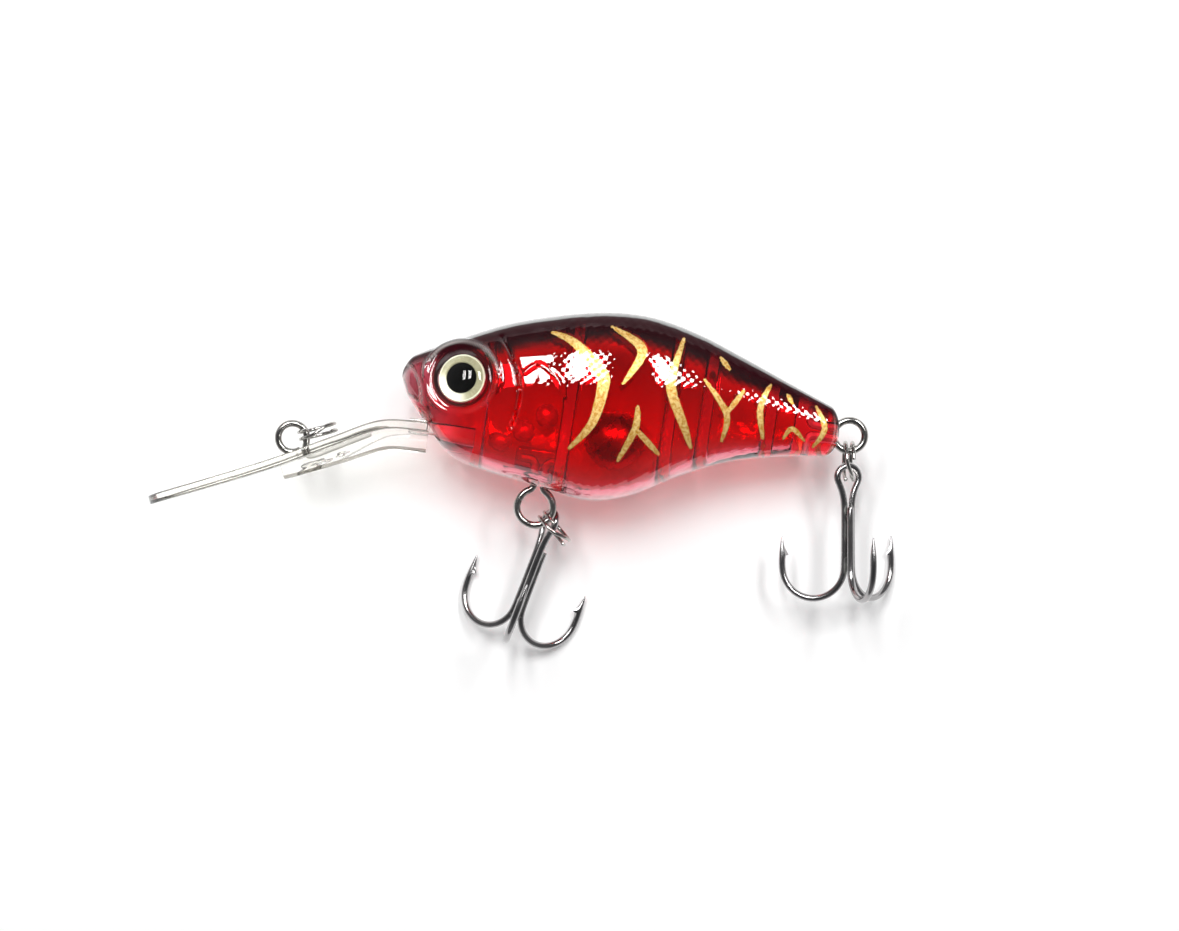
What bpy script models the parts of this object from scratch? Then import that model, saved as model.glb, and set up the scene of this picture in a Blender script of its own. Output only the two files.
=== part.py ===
"""Deep-diving crankbait lure, lying on its right flank as it is set down on a table.

Lure axes: u runs aft from the nose, v up towards the back and w out of the left flank.
The lure lies on its right flank, so u, v and w point along the world's X, Y and Z.
"""
from math import atan2, cos, pi, radians, sin, sqrt

import bmesh
import bpy
from mathutils import Matrix, Vector

MM = 0.001

# Body: outside form
BODY_LENGTH = 58.1 * MM
BACK_HEIGHT = 12.2 * MM
BELLY_DEPTH = 12.9 * MM
BODY_HALF_WIDTH = 8.7 * MM
NOSE_ROUND = 1.3 * MM
TAIL_ROUND = 1.6 * MM
WIDEST_SHARE = 0.46
SECTION_POWER = 2.5
# Share of the length, then shares of the back height, belly depth and half width there
BODY_SHAPE = (
    (0.000, 0.156, 0.124, 0.264),
    (0.052, 0.303, 0.388, 0.517),
    (0.129, 0.492, 0.736, 0.701),
    (0.224, 0.705, 0.860, 0.862),
    (0.344, 0.885, 0.930, 0.977),
    (0.456, 0.992, 1.000, 1.000),
    (0.551, 0.996, 0.884, 0.954),
    (0.654, 0.893, 0.616, 0.793),
    (0.757, 0.725, 0.403, 0.598),
    (0.869, 0.525, 0.271, 0.437),
    (1.000, 0.295, 0.178, 0.287),
)
BODY_STEPS = 26
SECTION_STEPS = 15
END_STATIONS = (0.03, 0.15, 0.4, 0.7)

# Body: walls, chambers and seam
WALL = 1.4 * MM
SEAM_GAP = 0.1 * MM
HEAD_SOLID = 12.0 * MM
HEAD_CHAMBER = 9.85 * MM
BULKHEAD_THICKNESS = 1.3 * MM
TAIL_SOLID = 6.1 * MM
REAR_CHAMBER_SHARES = (0.25, 0.54, 0.21)
CHAMBER_STATION = 1.9 * MM

# Gill cover line, as distance aft of the nose and level
GILL_LINE = (
    (12.6 * MM, 6.2 * MM),
    (14.9 * MM, 2.9 * MM),
    (15.9 * MM, -1.0 * MM),
    (15.3 * MM, -4.8 * MM),
)
GILL_GROOVE_RADIUS = 0.35 * MM

# Eyes
EYE_AFT = 8.0 * MM
EYE_LEVEL = 0.5 * MM
EYE_RADIUS = 3.15 * MM
EYE_DISC_THICKNESS = 0.5 * MM
EYE_DOME_HEIGHT = 1.1 * MM
EYE_SEAT_DEPTH = 0.9 * MM
EYE_CLEARANCE = 0.08 * MM
BROW_WIDTH = 1.35 * MM
BROW_HEIGHT = 0.5 * MM
BROW_ROOT = 1.2 * MM
# Shares of the brow's width and height along its rounded outer side
BROW_CURVE = ((0.0, -0.2), (0.2, 0.6), (0.55, 1.0))
EYE_DOME_ANGLES = (12, 30, 50, 70, 84)
TURNED_STEPS = 28

# Diving lip: its middle line in the plane of symmetry, from the tip to inside the head
LIP_LINE = (
    (-30.5 * MM, -21.5 * MM),
    (-22.0 * MM, -17.7 * MM),
    (-13.5 * MM, -13.6 * MM),
    (-7.0 * MM, -10.0 * MM),
    (-1.5 * MM, -7.1 * MM),
    (3.5 * MM, -6.5 * MM),
    (11.0 * MM, -6.5 * MM),
)
LIP_THICKNESS = 1.2 * MM
LIP_HALF_WIDTH = 8.5 * MM
LIP_ROOT_HALF_WIDTH = 5.2 * MM
LIP_TIP_ROUND = 9.0 * MM
LIP_WAIST_START = -12.0 * MM
LIP_EDGE_ROUND = 0.3 * MM
LIP_TIP_STATIONS = (0.004, 0.03, 0.09, 0.2, 0.36, 0.56, 0.78)
LIP_STEPS = 16
TONGUE_HALF_WIDTH = 2.8 * MM
TONGUE_THICKNESS = 2.0 * MM
TONGUE_OVERLAP = 1.5 * MM
TONGUE_STEPS = 5
TONGUE_MOUTH = 4.0 * MM
LIP_CLEARANCE = 0.08 * MM
RIB_FRONT = -14.3 * MM
RIB_DEPTH = 3.4 * MM
RIB_FRONT_SHARE = 0.68
RIB_WIDTH = 2.6 * MM
RIB_FOOT_SHARE = 0.7
RIB_STEPS = 10

# Wire fittings
WIRE_RADIUS = 0.475 * MM
WIRE_CLEARANCE = 0.08 * MM
LEG_SPREAD = 1.3 * MM
FOOT_REACH = 1.9 * MM
FOOT_BEND = 0.8 * MM
NECK_FILLET = 0.8 * MM
BELLY_EYE_AFT = 19.9 * MM
BELLY_EYE_DROP = 2.8 * MM
BELLY_EYE_RADIUS = 2.4 * MM
BELLY_LEG_DEPTH = 3.3 * MM
BOSS_HALF_WIDTH = 2.4 * MM
BOSS_COVER = 0.9 * MM
TAIL_EYE_REACH = 1.4 * MM
TAIL_EYE_LEVEL = 0.7 * MM
TAIL_EYE_RADIUS = 2.05 * MM
TAIL_LEG_DEPTH = 4.3 * MM
LINE_TIE_AFT = -13.1 * MM
LINE_TIE_RISE = 2.9 * MM
LINE_TIE_RADIUS = 1.9 * MM
LINE_TIE_SWEEP = radians(312)
LINE_TIE_FOOT = 8.0 * MM
LINE_TIE_SINK = 0.5 * MM
LINE_TIE_BEND = 0.9 * MM

# Split rings: wire wound two turns, less the crossover
RING_RADIUS = 2.5 * MM
RING_WIRE_RADIUS = 0.25 * MM
RING_TURN_GAP = 0.42 * MM
RING_CROSSOVER = radians(36)
LINK_CLEARANCE = 0.25 * MM

# Treble hooks
HOOK_WIRE_RADIUS = 0.45 * MM
HOOK_EYE_RADIUS = 1.55 * MM
HOOK_LENGTH = 17.7 * MM
HOOK_BEND_RADIUS = 4.2 * MM
HOOK_POINT_LENGTH = 4.0 * MM
HOOK_TAPER = 2.4 * MM
HOOK_TIP_RADIUS = 0.05 * MM
BARB_LENGTH = 1.1 * MM
BARB_HEIGHT = 0.5 * MM
BRAZE_GAP = 0.1 * MM
SINGLE_START = 5.6 * MM
HOOK_NECK = 4.3 * MM
HOOK_EYE_OPENING = radians(50)
BARB_BASE = 0.1 * MM
PRONG_DROOP = radians(30)

# How the loose pieces lie: angle aft of straight down, tilt of a ring towards the table,
# where round its ring a hook hangs, and how far a hook is rolled about its shank
LINE_TIE_RING_LEAN = radians(113)
LINE_TIE_RING_TILT = radians(12)
BELLY_RING_LEAN = radians(50)
BELLY_RING_TILT = radians(25)
BELLY_HOOK_HANG = radians(92)
BELLY_HOOK_LEAN = radians(-12.5)
BELLY_HOOK_ROLL = radians(120)
TAIL_RING_LEAN = radians(8.5)
TAIL_RING_TILT = radians(32)
TAIL_HOOK_HANG = radians(180)
TAIL_HOOK_LEAN = radians(8.5)
TAIL_HOOK_ROLL = radians(16)
TABLE_GAP = 0.03 * MM

# Balls inside the body
BALLAST_RADIUS = 4.0 * MM
BALLAST_PLAY = 1.8 * MM
BALLAST_LEVEL = -4.6 * MM
RATTLE_RADIUS = 1.6 * MM
RATTLE_LEVELS = (-7.0 * MM, -5.2 * MM, -2.6 * MM)
RATTLE_PITCH = 2.9 * MM
BALL_CLEARANCE = 0.3 * MM

# Facets, and how far cutters reach past what they cut
WIRE_SIDES = 8
RING_STEP = radians(15)
SLOPE_STEP = 0.1 * MM
OVERCUT = 1.0 * MM
AXES_SIZE = 3.0 * MM

UP = Vector((0.0, 0.0, 1.0))
SIDES = (("left", 1), ("right", -1))


def clear_scene():
    for old in list(bpy.data.objects):
        bpy.data.objects.remove(old, do_unlink=True)


def make_material(name, colour, roughness, metallic, alpha=1.0):
    material = bpy.data.materials.new(name)
    material.use_nodes = True
    shader = material.node_tree.nodes["Principled BSDF"]
    shader.inputs["Base Color"].default_value = (*colour, 1.0)
    shader.inputs["Roughness"].default_value = roughness
    shader.inputs["Metallic"].default_value = metallic
    shader.inputs["Alpha"].default_value = alpha
    return material


def smooth_value(table, column, x):
    """Cubic through the rows of a table whose first column is x."""
    last = len(table) - 1
    i = 0
    while i < last - 1 and x > table[i + 1][0]:
        i += 1

    def slope(k):
        a, b = max(k - 1, 0), min(k + 1, last)
        return (table[b][column] - table[a][column]) / (table[b][0] - table[a][0])

    span = table[i + 1][0] - table[i][0]
    t = (x - table[i][0]) / span
    start, end = table[i][column], table[i + 1][column]
    return (start * (1 + 2 * t) * (1 - t) ** 2 + span * slope(i) * t * (1 - t) ** 2
            + end * t * t * (3 - 2 * t) + span * slope(i + 1) * t * t * (t - 1))


def body_levels(u):
    """Back, belly and half width of the body at u, before its ends are rounded."""
    share = u / BODY_LENGTH
    back = BACK_HEIGHT * smooth_value(BODY_SHAPE, 1, share)
    belly = -BELLY_DEPTH * smooth_value(BODY_SHAPE, 2, share)
    half_width = BODY_HALF_WIDTH * min(1.0, smooth_value(BODY_SHAPE, 3, share))
    return back, belly, half_width


def end_rounding(u):
    nose = max(0.0, 1 - u / NOSE_ROUND)
    tail = max(0.0, 1 - (BODY_LENGTH - u) / TAIL_ROUND)
    return sqrt(max(0.0, 1 - nose * nose)) * sqrt(max(0.0, 1 - tail * tail))


def section(u, inset=0.0):
    """Widest level, height above it, depth below it and half width of one section."""
    back, belly, half_width = body_levels(u)
    scale = end_rounding(u)
    widest = belly + WIDEST_SHARE * (back - belly)
    above = (back - widest) * scale - inset
    below = (widest - belly) * scale - inset
    return widest, above, below, half_width * scale - inset


def flank(u, v, inset=0.0):
    """How far the flank stands out from the seam at u and level v."""
    widest, above, below, half_width = section(u, inset)
    reach = above if v > widest else below
    share = min(1.0, abs(v - widest) / reach)
    return half_width * (1 - share ** SECTION_POWER) ** (1 / SECTION_POWER)


def section_points(u, side, inset=0.0, seam=SEAM_GAP / 2):
    """Half section from the belly seam round the flank to the back seam."""
    widest, above, below, half_width = section(u, inset)
    points = []
    for k in range(SECTION_STEPS + 1):
        angle = -pi / 2 + pi * k / SECTION_STEPS
        height = abs(sin(angle)) ** (2 / SECTION_POWER)
        out = max(0.0, cos(angle)) ** (2 / SECTION_POWER)
        v = widest + (above * height if angle > 0 else -below * height)
        points.append(Vector((u, v, side * (seam + (half_width - seam) * out))))
    return points


def body_stations(start, end, steps):
    return [start + (end - start) * k / steps for k in range(steps + 1)]


def outer_stations():
    nose = [NOSE_ROUND * share for share in END_STATIONS]
    tail = [BODY_LENGTH - TAIL_ROUND * share for share in reversed(END_STATIONS)]
    return nose + body_stations(NOSE_ROUND, BODY_LENGTH - TAIL_ROUND, BODY_STEPS) + tail


def add_rings(mesh, rings):
    """One closed solid through rings of points, capped at both ends."""
    loops = [[mesh.verts.new(point) for point in ring] for ring in rings]
    faces = [mesh.faces.new(loops[0]), mesh.faces.new(loops[-1])]
    for near, far in zip(loops, loops[1:]):
        for k in range(len(near)):
            n = (k + 1) % len(near)
            faces.append(mesh.faces.new((near[k], near[n], far[n], far[k])))
    bmesh.ops.recalc_face_normals(mesh, faces=faces)


def add_box(mesh, low, high):
    rings = []
    for u in (low[0], high[0]):
        rings.append([Vector((u, v, w)) for v, w in
                      ((low[1], low[2]), (high[1], low[2]), (high[1], high[2]), (low[1], high[2]))])
    add_rings(mesh, rings)


def tube_rings(path, radii, normal, sides=WIRE_SIDES, barb=None):
    """Rings of a wire along a path; barb lifts the side of ring k that faces its normal."""
    rings = []
    for k, point in enumerate(path):
        ahead = path[min(k + 1, len(path) - 1)] - path[max(k - 1, 0)]
        tangent = ahead.normalized()
        normal = (normal - tangent * normal.dot(tangent)).normalized()
        binormal = tangent.cross(normal)
        ring = []
        for s in range(sides):
            angle = 2 * pi * s / sides
            lift = barb[k] if barb and s == 0 else 0.0
            across = normal * cos(angle) + binormal * sin(angle)
            ring.append(point + across * (radii[k] + lift))
        rings.append(ring)
    return rings


def add_wire(mesh, path, radius, normal=UP):
    add_rings(mesh, tube_rings(path, [radius] * len(path), normal))


def through(points, per_span):
    """Points on a smooth curve through the given ones."""
    curve = []
    for k in range(len(points) - 1):
        before, start = points[max(k - 1, 0)], points[k]
        end, after = points[k + 1], points[min(k + 2, len(points) - 1)]
        for step in range(per_span):
            t = step / per_span
            curve.append(0.5 * (2 * start + (end - before) * t
                                + (2 * before - 5 * start + 4 * end - after) * t * t
                                + (3 * start - before - 3 * end + after) * t ** 3))
    return curve + [points[-1]]


def arc(centre, radius, start, end, steps, across, along):
    return [centre + (across * cos(a) + along * sin(a)) * radius
            for a in (start + (end - start) * k / steps for k in range(steps + 1))]


def new_object(name, mesh, parent, material=None, smooth=30):
    data = bpy.data.meshes.new(name)
    mesh.to_mesh(data)
    mesh.free()
    data.shade_smooth()
    data.set_sharp_from_angle(angle=radians(smooth))
    piece = bpy.data.objects.new(name, data)
    bpy.context.scene.collection.objects.link(piece)
    piece.parent = parent
    if material:
        data.materials.append(material)
    else:
        piece.hide_render = True
        piece.display_type = "WIRE"
    return piece


def new_empty(name, parent, place=Matrix.Identity(4)):
    empty = bpy.data.objects.new(name, None)
    empty.empty_display_size = AXES_SIZE
    bpy.context.scene.collection.objects.link(empty)
    empty.parent = parent
    empty.matrix_basis = place
    return empty


def boolean(piece, tool, operation):
    modifier = piece.modifiers.new(tool.name, "BOOLEAN")
    modifier.operation = operation
    modifier.object = tool
    modifier.solver = "EXACT"


def chambers():
    """Where each hollow starts and ends along the body."""
    ballast_chamber = 2 * (BALLAST_RADIUS + BALLAST_PLAY)
    spans = [(HEAD_SOLID, HEAD_SOLID + HEAD_CHAMBER)]
    start = spans[-1][1] + BULKHEAD_THICKNESS
    spans.append((start, start + ballast_chamber))
    start = spans[-1][1] + BULKHEAD_THICKNESS
    gaps = BULKHEAD_THICKNESS * (len(REAR_CHAMBER_SHARES) - 1)
    rear_length = BODY_LENGTH - TAIL_SOLID - start - gaps
    for share in REAR_CHAMBER_SHARES:
        spans.append((start, start + rear_length * share))
        start = spans[-1][1] + BULKHEAD_THICKNESS
    return spans


def eye_place(side):
    """Frame on the flank at the eye, with Z along the flank's outward normal."""
    centre = Vector((EYE_AFT, EYE_LEVEL, flank(EYE_AFT, EYE_LEVEL)))
    rise_aft = flank(EYE_AFT + SLOPE_STEP, EYE_LEVEL) - flank(EYE_AFT - SLOPE_STEP, EYE_LEVEL)
    rise_up = flank(EYE_AFT, EYE_LEVEL + SLOPE_STEP) - flank(EYE_AFT, EYE_LEVEL - SLOPE_STEP)
    outward = Vector((-rise_aft, -rise_up, 2 * SLOPE_STEP)).normalized()
    centre.z *= side
    outward.z *= side
    return Matrix.Translation(centre) @ UP.rotation_difference(outward).to_matrix().to_4x4()


def add_turned(mesh, profile, place, steps=TURNED_STEPS):
    """Solid turned about the place's Z axis from (radius, height) points."""
    rings = []
    for radius, height in profile:
        rings.append([place @ Vector((radius * cos(a), radius * sin(a), height))
                      for a in (2 * pi * k / steps for k in range(steps))])
    add_rings(mesh, rings)


def hanger_path(radius, leg_length):
    """Wire eye about the origin, with two legs up +Y and a foot turned out on each."""
    leg = LEG_SPREAD / 2
    right, up = Vector((1, 0, 0)), Vector((0, 1, 0))
    neck = Vector((leg + NECK_FILLET, 0, 0))
    neck.y = sqrt((radius + NECK_FILLET) ** 2 - neck.x ** 2)
    turn = Vector((leg + FOOT_BEND, leg_length - FOOT_BEND, 0))
    half = [Vector((leg + FOOT_REACH, leg_length, 0))]
    half += arc(turn, FOOT_BEND, pi / 2, pi, 4, right, up)
    half += arc(neck, NECK_FILLET, pi, pi + atan2(neck.y, neck.x), 4, right, up)
    opening = atan2(neck.x, neck.y)
    eye = arc(Vector(), radius, opening, 2 * pi - opening, 20, up, right)
    mirrored = [Vector((-point.x, point.y, 0)) for point in reversed(half)]
    return half + eye[1:-1] + mirrored


def belly_eye_place():
    belly = body_levels(BELLY_EYE_AFT)[1]
    return Matrix.Translation((BELLY_EYE_AFT, belly - BELLY_EYE_DROP, 0))


def tail_eye_place():
    centre = (BODY_LENGTH + TAIL_EYE_REACH, TAIL_EYE_LEVEL, 0)
    return Matrix.Translation(centre) @ Matrix.Rotation(pi / 2, 4, "Z")


def fitting_paths():
    """Paths of the belly and tail hangers in lure axes."""
    belly_legs = BELLY_EYE_DROP + BELLY_LEG_DEPTH
    tail_legs = TAIL_EYE_REACH + TAIL_LEG_DEPTH
    belly = [belly_eye_place() @ p for p in hanger_path(BELLY_EYE_RADIUS, belly_legs)]
    tail = [tail_eye_place() @ p for p in hanger_path(TAIL_EYE_RADIUS, tail_legs)]
    return belly, tail


def lip_level(u):
    return smooth_value(LIP_LINE, 1, u)


def lip_normal(u):
    fall = lip_level(u - SLOPE_STEP) - lip_level(u + SLOPE_STEP)
    return Vector((fall, 2 * SLOPE_STEP, 0)).normalized()


def lip_half_width(u):
    tip = LIP_LINE[0][0]
    root = LIP_LINE[-2][0]
    if u < tip + LIP_TIP_ROUND:
        return LIP_HALF_WIDTH * sqrt(max(0.0, 1 - ((tip + LIP_TIP_ROUND - u) / LIP_TIP_ROUND) ** 2))
    if u < LIP_WAIST_START:
        return LIP_HALF_WIDTH
    t = min(1.0, (u - LIP_WAIST_START) / (root - LIP_WAIST_START))
    return LIP_HALF_WIDTH + (LIP_ROOT_HALF_WIDTH - LIP_HALF_WIDTH) * t * t * (3 - 2 * t)


def lip_ring(u, half_width, thickness):
    """Section of the lip, square to its middle line, with its edges eased."""
    middle = Vector((u, lip_level(u), 0))
    up = lip_normal(u) * (thickness / 2)
    ease = min(LIP_EDGE_ROUND, half_width / 2)
    eased_up = up * (1 - 2 * LIP_EDGE_ROUND / thickness)
    ring = []
    for w, lift in ((half_width - ease, up), (half_width, eased_up), (half_width, -eased_up),
                    (half_width - ease, -up)):
        ring.append(middle + lift + UP * w)
    return ring + [Vector((p.x, p.y, -p.z)) for p in reversed(ring)]


def rib_depth(u):
    root = LIP_LINE[-2][0]
    t = min(1.0, max(0.0, (u - RIB_FRONT) / (root - RIB_FRONT)))
    return RIB_DEPTH * (RIB_FRONT_SHARE + (1 - RIB_FRONT_SHARE) * sin(pi / 2 * t))


def add_rib(mesh):
    half = RIB_WIDTH / 2
    rings = []
    for u in body_stations(RIB_FRONT, LIP_LINE[-2][0] + OVERCUT, RIB_STEPS):
        middle = Vector((u, lip_level(u), 0))
        foot = middle - lip_normal(u) * rib_depth(u)
        rings.append([middle - UP * half, middle + UP * half,
                      foot + UP * RIB_FOOT_SHARE * half, foot - UP * RIB_FOOT_SHARE * half])
    add_rings(mesh, rings)


def tongue_stations():
    root = LIP_LINE[-2][0]
    return body_stations(root - TONGUE_OVERLAP, LIP_LINE[-1][0], TONGUE_STEPS)


def add_tongue(mesh, clearance=0.0, ahead=0.0):
    stations = tongue_stations()
    stations[0] -= ahead
    stations[-1] += clearance
    rings = [lip_ring(u, TONGUE_HALF_WIDTH + clearance, TONGUE_THICKNESS + 2 * clearance)
             for u in stations]
    add_rings(mesh, rings)


def line_tie_centre():
    return Vector((LINE_TIE_AFT, lip_level(LINE_TIE_AFT) + LINE_TIE_RISE, 0))


def line_tie_path():
    """Foot lying in the rib, stem up through the blade and an eye above it."""
    centre = line_tie_centre()
    stem_u = LINE_TIE_AFT + LINE_TIE_RADIUS
    foot = []
    for share in (1.0, 0.75, 0.5, 0.25):
        u = stem_u + LINE_TIE_BEND + (LINE_TIE_FOOT - LINE_TIE_BEND) * share
        foot.append(Vector((u, lip_level(u), 0)) - lip_normal(u) * LINE_TIE_SINK)
    bend_u = stem_u + LINE_TIE_BEND
    low = Vector((bend_u, lip_level(bend_u), 0)) - lip_normal(bend_u) * LINE_TIE_SINK
    turn = Vector((stem_u + 0.2 * LINE_TIE_BEND, low.y - 0.05 * LINE_TIE_BEND, 0))
    stem = [low, turn, Vector((stem_u, low.y + 0.8 * LINE_TIE_BEND, 0))]
    eye = arc(centre, LINE_TIE_RADIUS, 0, LINE_TIE_SWEEP, 16, Vector((1, 0, 0)), Vector((0, 1, 0)))
    return through(foot + stem + eye, 2)


def add_body_half(mesh, side, grow=0.0):
    add_rings(mesh, [section_points(u, side, -grow) for u in outer_stations()])


def add_whole_body(mesh, grow):
    rings = []
    for u in outer_stations():
        left = section_points(u, 1, -grow, 0.0)
        right = section_points(u, -1, -grow, 0.0)
        rings.append(left + right[-2:0:-1])
    add_rings(mesh, rings)


def chamber_cutter(side, parent):
    """All hollows of one half, with the hanger's boss left standing in the first."""
    mesh = bmesh.new()
    for start, end in chambers():
        rings = []
        for u in body_stations(start, end, max(2, round((end - start) / CHAMBER_STATION))):
            ring = section_points(u, side, WALL)
            low, high = ring[0].copy(), ring[-1].copy()
            low.z = high.z = -side * OVERCUT
            rings.append([low] + ring + [high])
        add_rings(mesh, rings)
    cutter = new_object("chambers_" + ("left" if side > 0 else "right"), mesh, parent)
    boss = bmesh.new()
    foot_level = body_levels(BELLY_EYE_AFT)[1] + BELLY_LEG_DEPTH
    half_length = LEG_SPREAD / 2 + FOOT_REACH + BOSS_COVER
    add_box(boss, (BELLY_EYE_AFT - half_length, -2 * BELLY_DEPTH, -BOSS_HALF_WIDTH),
            (BELLY_EYE_AFT + half_length, foot_level + WIRE_RADIUS + BOSS_COVER, BOSS_HALF_WIDTH))
    boolean(cutter, new_object("boss_" + cutter.name, boss, parent), "DIFFERENCE")
    return cutter


def brow(side, parent):
    mesh = bmesh.new()
    outer = EYE_RADIUS + EYE_CLEARANCE + BROW_WIDTH
    profile = [(outer, -BROW_ROOT)]
    for inward, height in BROW_CURVE:
        profile.append((outer - inward * BROW_WIDTH, height * BROW_HEIGHT))
    add_turned(mesh, profile, eye_place(side))
    return new_object("brow_" + ("left" if side > 0 else "right"), mesh, parent)


def fit_cutter(side, parent):
    """Seats in one half: eye, gill line, hanger wires and the lip's tongue."""
    mesh = bmesh.new()
    seat = EYE_RADIUS + EYE_CLEARANCE
    add_turned(mesh, ((seat, -EYE_SEAT_DEPTH), (seat, BROW_HEIGHT + OVERCUT)), eye_place(side))
    groove = [Vector((u, v, side * flank(u, v))) for u, v in GILL_LINE]
    add_wire(mesh, through(groove, 4), GILL_GROOVE_RADIUS)
    for path in fitting_paths():
        add_wire(mesh, path, WIRE_RADIUS + WIRE_CLEARANCE)
    add_tongue(mesh, LIP_CLEARANCE, ahead=TONGUE_MOUTH)
    return new_object("seats_" + ("left" if side > 0 else "right"), mesh, parent)


def make_shell(name, side, parent, material):
    mesh = bmesh.new()
    add_body_half(mesh, side)
    shell = new_object(name, mesh, parent, material)
    boolean(shell, chamber_cutter(side, parent), "DIFFERENCE")
    boolean(shell, brow(side, parent), "UNION")
    boolean(shell, fit_cutter(side, parent), "DIFFERENCE")


def make_eye(side_name, side, parent, disc_material, dome_material):
    place = eye_place(side)
    seat = -EYE_SEAT_DEPTH + EYE_CLEARANCE
    disc = bmesh.new()
    add_turned(disc, ((EYE_RADIUS, seat), (EYE_RADIUS, seat + EYE_DISC_THICKNESS)), place)
    new_object(side_name + "_eye_disc", disc, parent, disc_material)
    dome = bmesh.new()
    base = seat + EYE_DISC_THICKNESS + EYE_CLEARANCE
    profile = [(EYE_RADIUS, base)]
    for angle in (radians(a) for a in EYE_DOME_ANGLES):
        profile.append((EYE_RADIUS * cos(angle), base + EYE_DOME_HEIGHT * sin(angle)))
    add_turned(dome, profile, place)
    new_object(side_name + "_eye_dome", dome, parent, dome_material)


def make_lip(parent, material):
    mesh = bmesh.new()
    tip, root = LIP_LINE[0][0], LIP_LINE[-2][0]
    round_stations = [tip + LIP_TIP_ROUND * share for share in LIP_TIP_STATIONS]
    stations = round_stations + body_stations(tip + LIP_TIP_ROUND, root + OVERCUT, LIP_STEPS)
    add_rings(mesh, [lip_ring(u, lip_half_width(u), LIP_THICKNESS) for u in stations])
    lip = new_object("diving_lip", mesh, parent, material)
    rib = bmesh.new()
    add_rib(rib)
    boolean(lip, new_object("lip_rib", rib, parent), "UNION")
    head = bmesh.new()
    add_whole_body(head, LIP_CLEARANCE)
    boolean(lip, new_object("head_clearance", head, parent), "DIFFERENCE")
    tongue = bmesh.new()
    add_tongue(tongue)
    boolean(lip, new_object("lip_tongue", tongue, parent), "UNION")
    channel = bmesh.new()
    add_wire(channel, line_tie_path(), WIRE_RADIUS + WIRE_CLEARANCE)
    boolean(lip, new_object("line_tie_channel", channel, parent), "DIFFERENCE")


def make_wire(name, path, parent, material):
    mesh = bmesh.new()
    add_wire(mesh, path, WIRE_RADIUS)
    new_object(name, mesh, parent, material)


def ring_path(seat):
    """Two turns of wire about X; the strand at seat above the origin takes the load."""
    half_pitch = RING_WIRE_RADIUS + RING_TURN_GAP / 2
    centre = Vector((0, seat - RING_RADIUS, 0))
    crossing = 2.5 * pi
    start = crossing - 2 * pi + RING_CROSSOVER
    steps = round((4 * pi - 2 * RING_CROSSOVER) / RING_STEP)
    path = []
    for k in range(steps + 1):
        angle = start + (4 * pi - 2 * RING_CROSSOVER) * k / steps
        t = min(1.0, max(0.0, (angle - crossing + RING_CROSSOVER) / (2 * RING_CROSSOVER)))
        side = half_pitch * (2 * t * t * (3 - 2 * t) - 1)
        path.append(centre + Vector((side, RING_RADIUS * cos(angle), RING_RADIUS * sin(angle))))
    return path


def least_self_gap(path, radius):
    """Clear space between strands of a path that lie more than a quarter turn apart."""
    apart = round(pi / 2 / RING_STEP)
    nearest = min((path[i] - path[k]).length
                  for i in range(len(path)) for k in range(i + apart, len(path)))
    return nearest - 2 * radius


def link_seat():
    return WIRE_RADIUS + RING_WIRE_RADIUS + LINK_CLEARANCE


def ring_place(eye_centre, eye_radius, lean, tilt):
    """Frame on the eye's wire: X along the wire, -Y along the ring, tilted to the table."""
    pull = Vector((sin(lean), -cos(lean), 0))
    along = Vector((cos(lean), sin(lean), 0))
    basis = Matrix((along, -pull, UP)).transposed().to_4x4()
    return (Matrix.Translation(eye_centre + pull * eye_radius) @ basis
            @ Matrix.Rotation(tilt, 4, "X"))


def make_ring(name, place, parent, material):
    pivot = new_empty(name + "_pivot", parent, place)
    path = ring_path(link_seat())
    mesh = bmesh.new()
    add_rings(mesh, tube_rings(path, [RING_WIRE_RADIUS] * len(path), Vector((1, 0, 0))))
    new_object(name, mesh, pivot, material)
    return pivot


def strand_offset():
    """Distance of the two hook strands from the shank's middle line."""
    return HOOK_WIRE_RADIUS + BRAZE_GAP / 2


def prongs():
    """Strand and outward direction of each prong: the double hook's two, then the third."""
    offset = strand_offset()
    nest = sqrt((2 * offset) ** 2 - offset ** 2)
    pair = [(Vector((side * offset, 0, 0)), Vector((side * cos(PRONG_DROOP), 0, -sin(PRONG_DROOP))))
            for side in (1, -1)]
    return pair + [(Vector((0, 0, nest)), UP)]


def prong_path(strand, direction, start):
    """Shank, bend and point of one prong, down -Y from the eye and out along direction."""
    bend_level = -(HOOK_LENGTH - HOOK_BEND_RADIUS)
    shank = [strand + Vector((0, start + (bend_level - start) * k / 3, 0)) for k in range(3)]
    centre = strand + Vector((0, bend_level, 0)) + direction * HOOK_BEND_RADIUS
    bend = arc(centre, HOOK_BEND_RADIUS, pi, 0, 11, direction, Vector((0, -1, 0)))
    foot = bend[-1]
    marks = [0.0, HOOK_TAPER - BARB_LENGTH, HOOK_TAPER, HOOK_TAPER + BARB_BASE, HOOK_POINT_LENGTH]
    rise = [foot + Vector((0, HOOK_POINT_LENGTH - d, 0)) for d in reversed(marks)]
    return shank + bend + rise[1:]


def prong_shape(path):
    """Radius and barb lift of each ring of a prong that ends in its point."""
    tip = path[-1]
    radii, barbs = [], []
    for point in path:
        left = (tip - point).length
        share = min(1.0, left / HOOK_TAPER)
        radii.append(HOOK_TIP_RADIUS + (HOOK_WIRE_RADIUS - HOOK_TIP_RADIUS) * share)
        on_barb = HOOK_TAPER - BARB_LENGTH / 2 < left < HOOK_TAPER + BARB_BASE / 2
        barbs.append(BARB_HEIGHT if on_barb else 0.0)
    return radii, barbs


def prong_rings(strand, direction, start):
    path = prong_path(strand, direction, start)
    radii, barbs = prong_shape(path)
    return tube_rings(path, radii, direction, barb=barbs)


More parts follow.
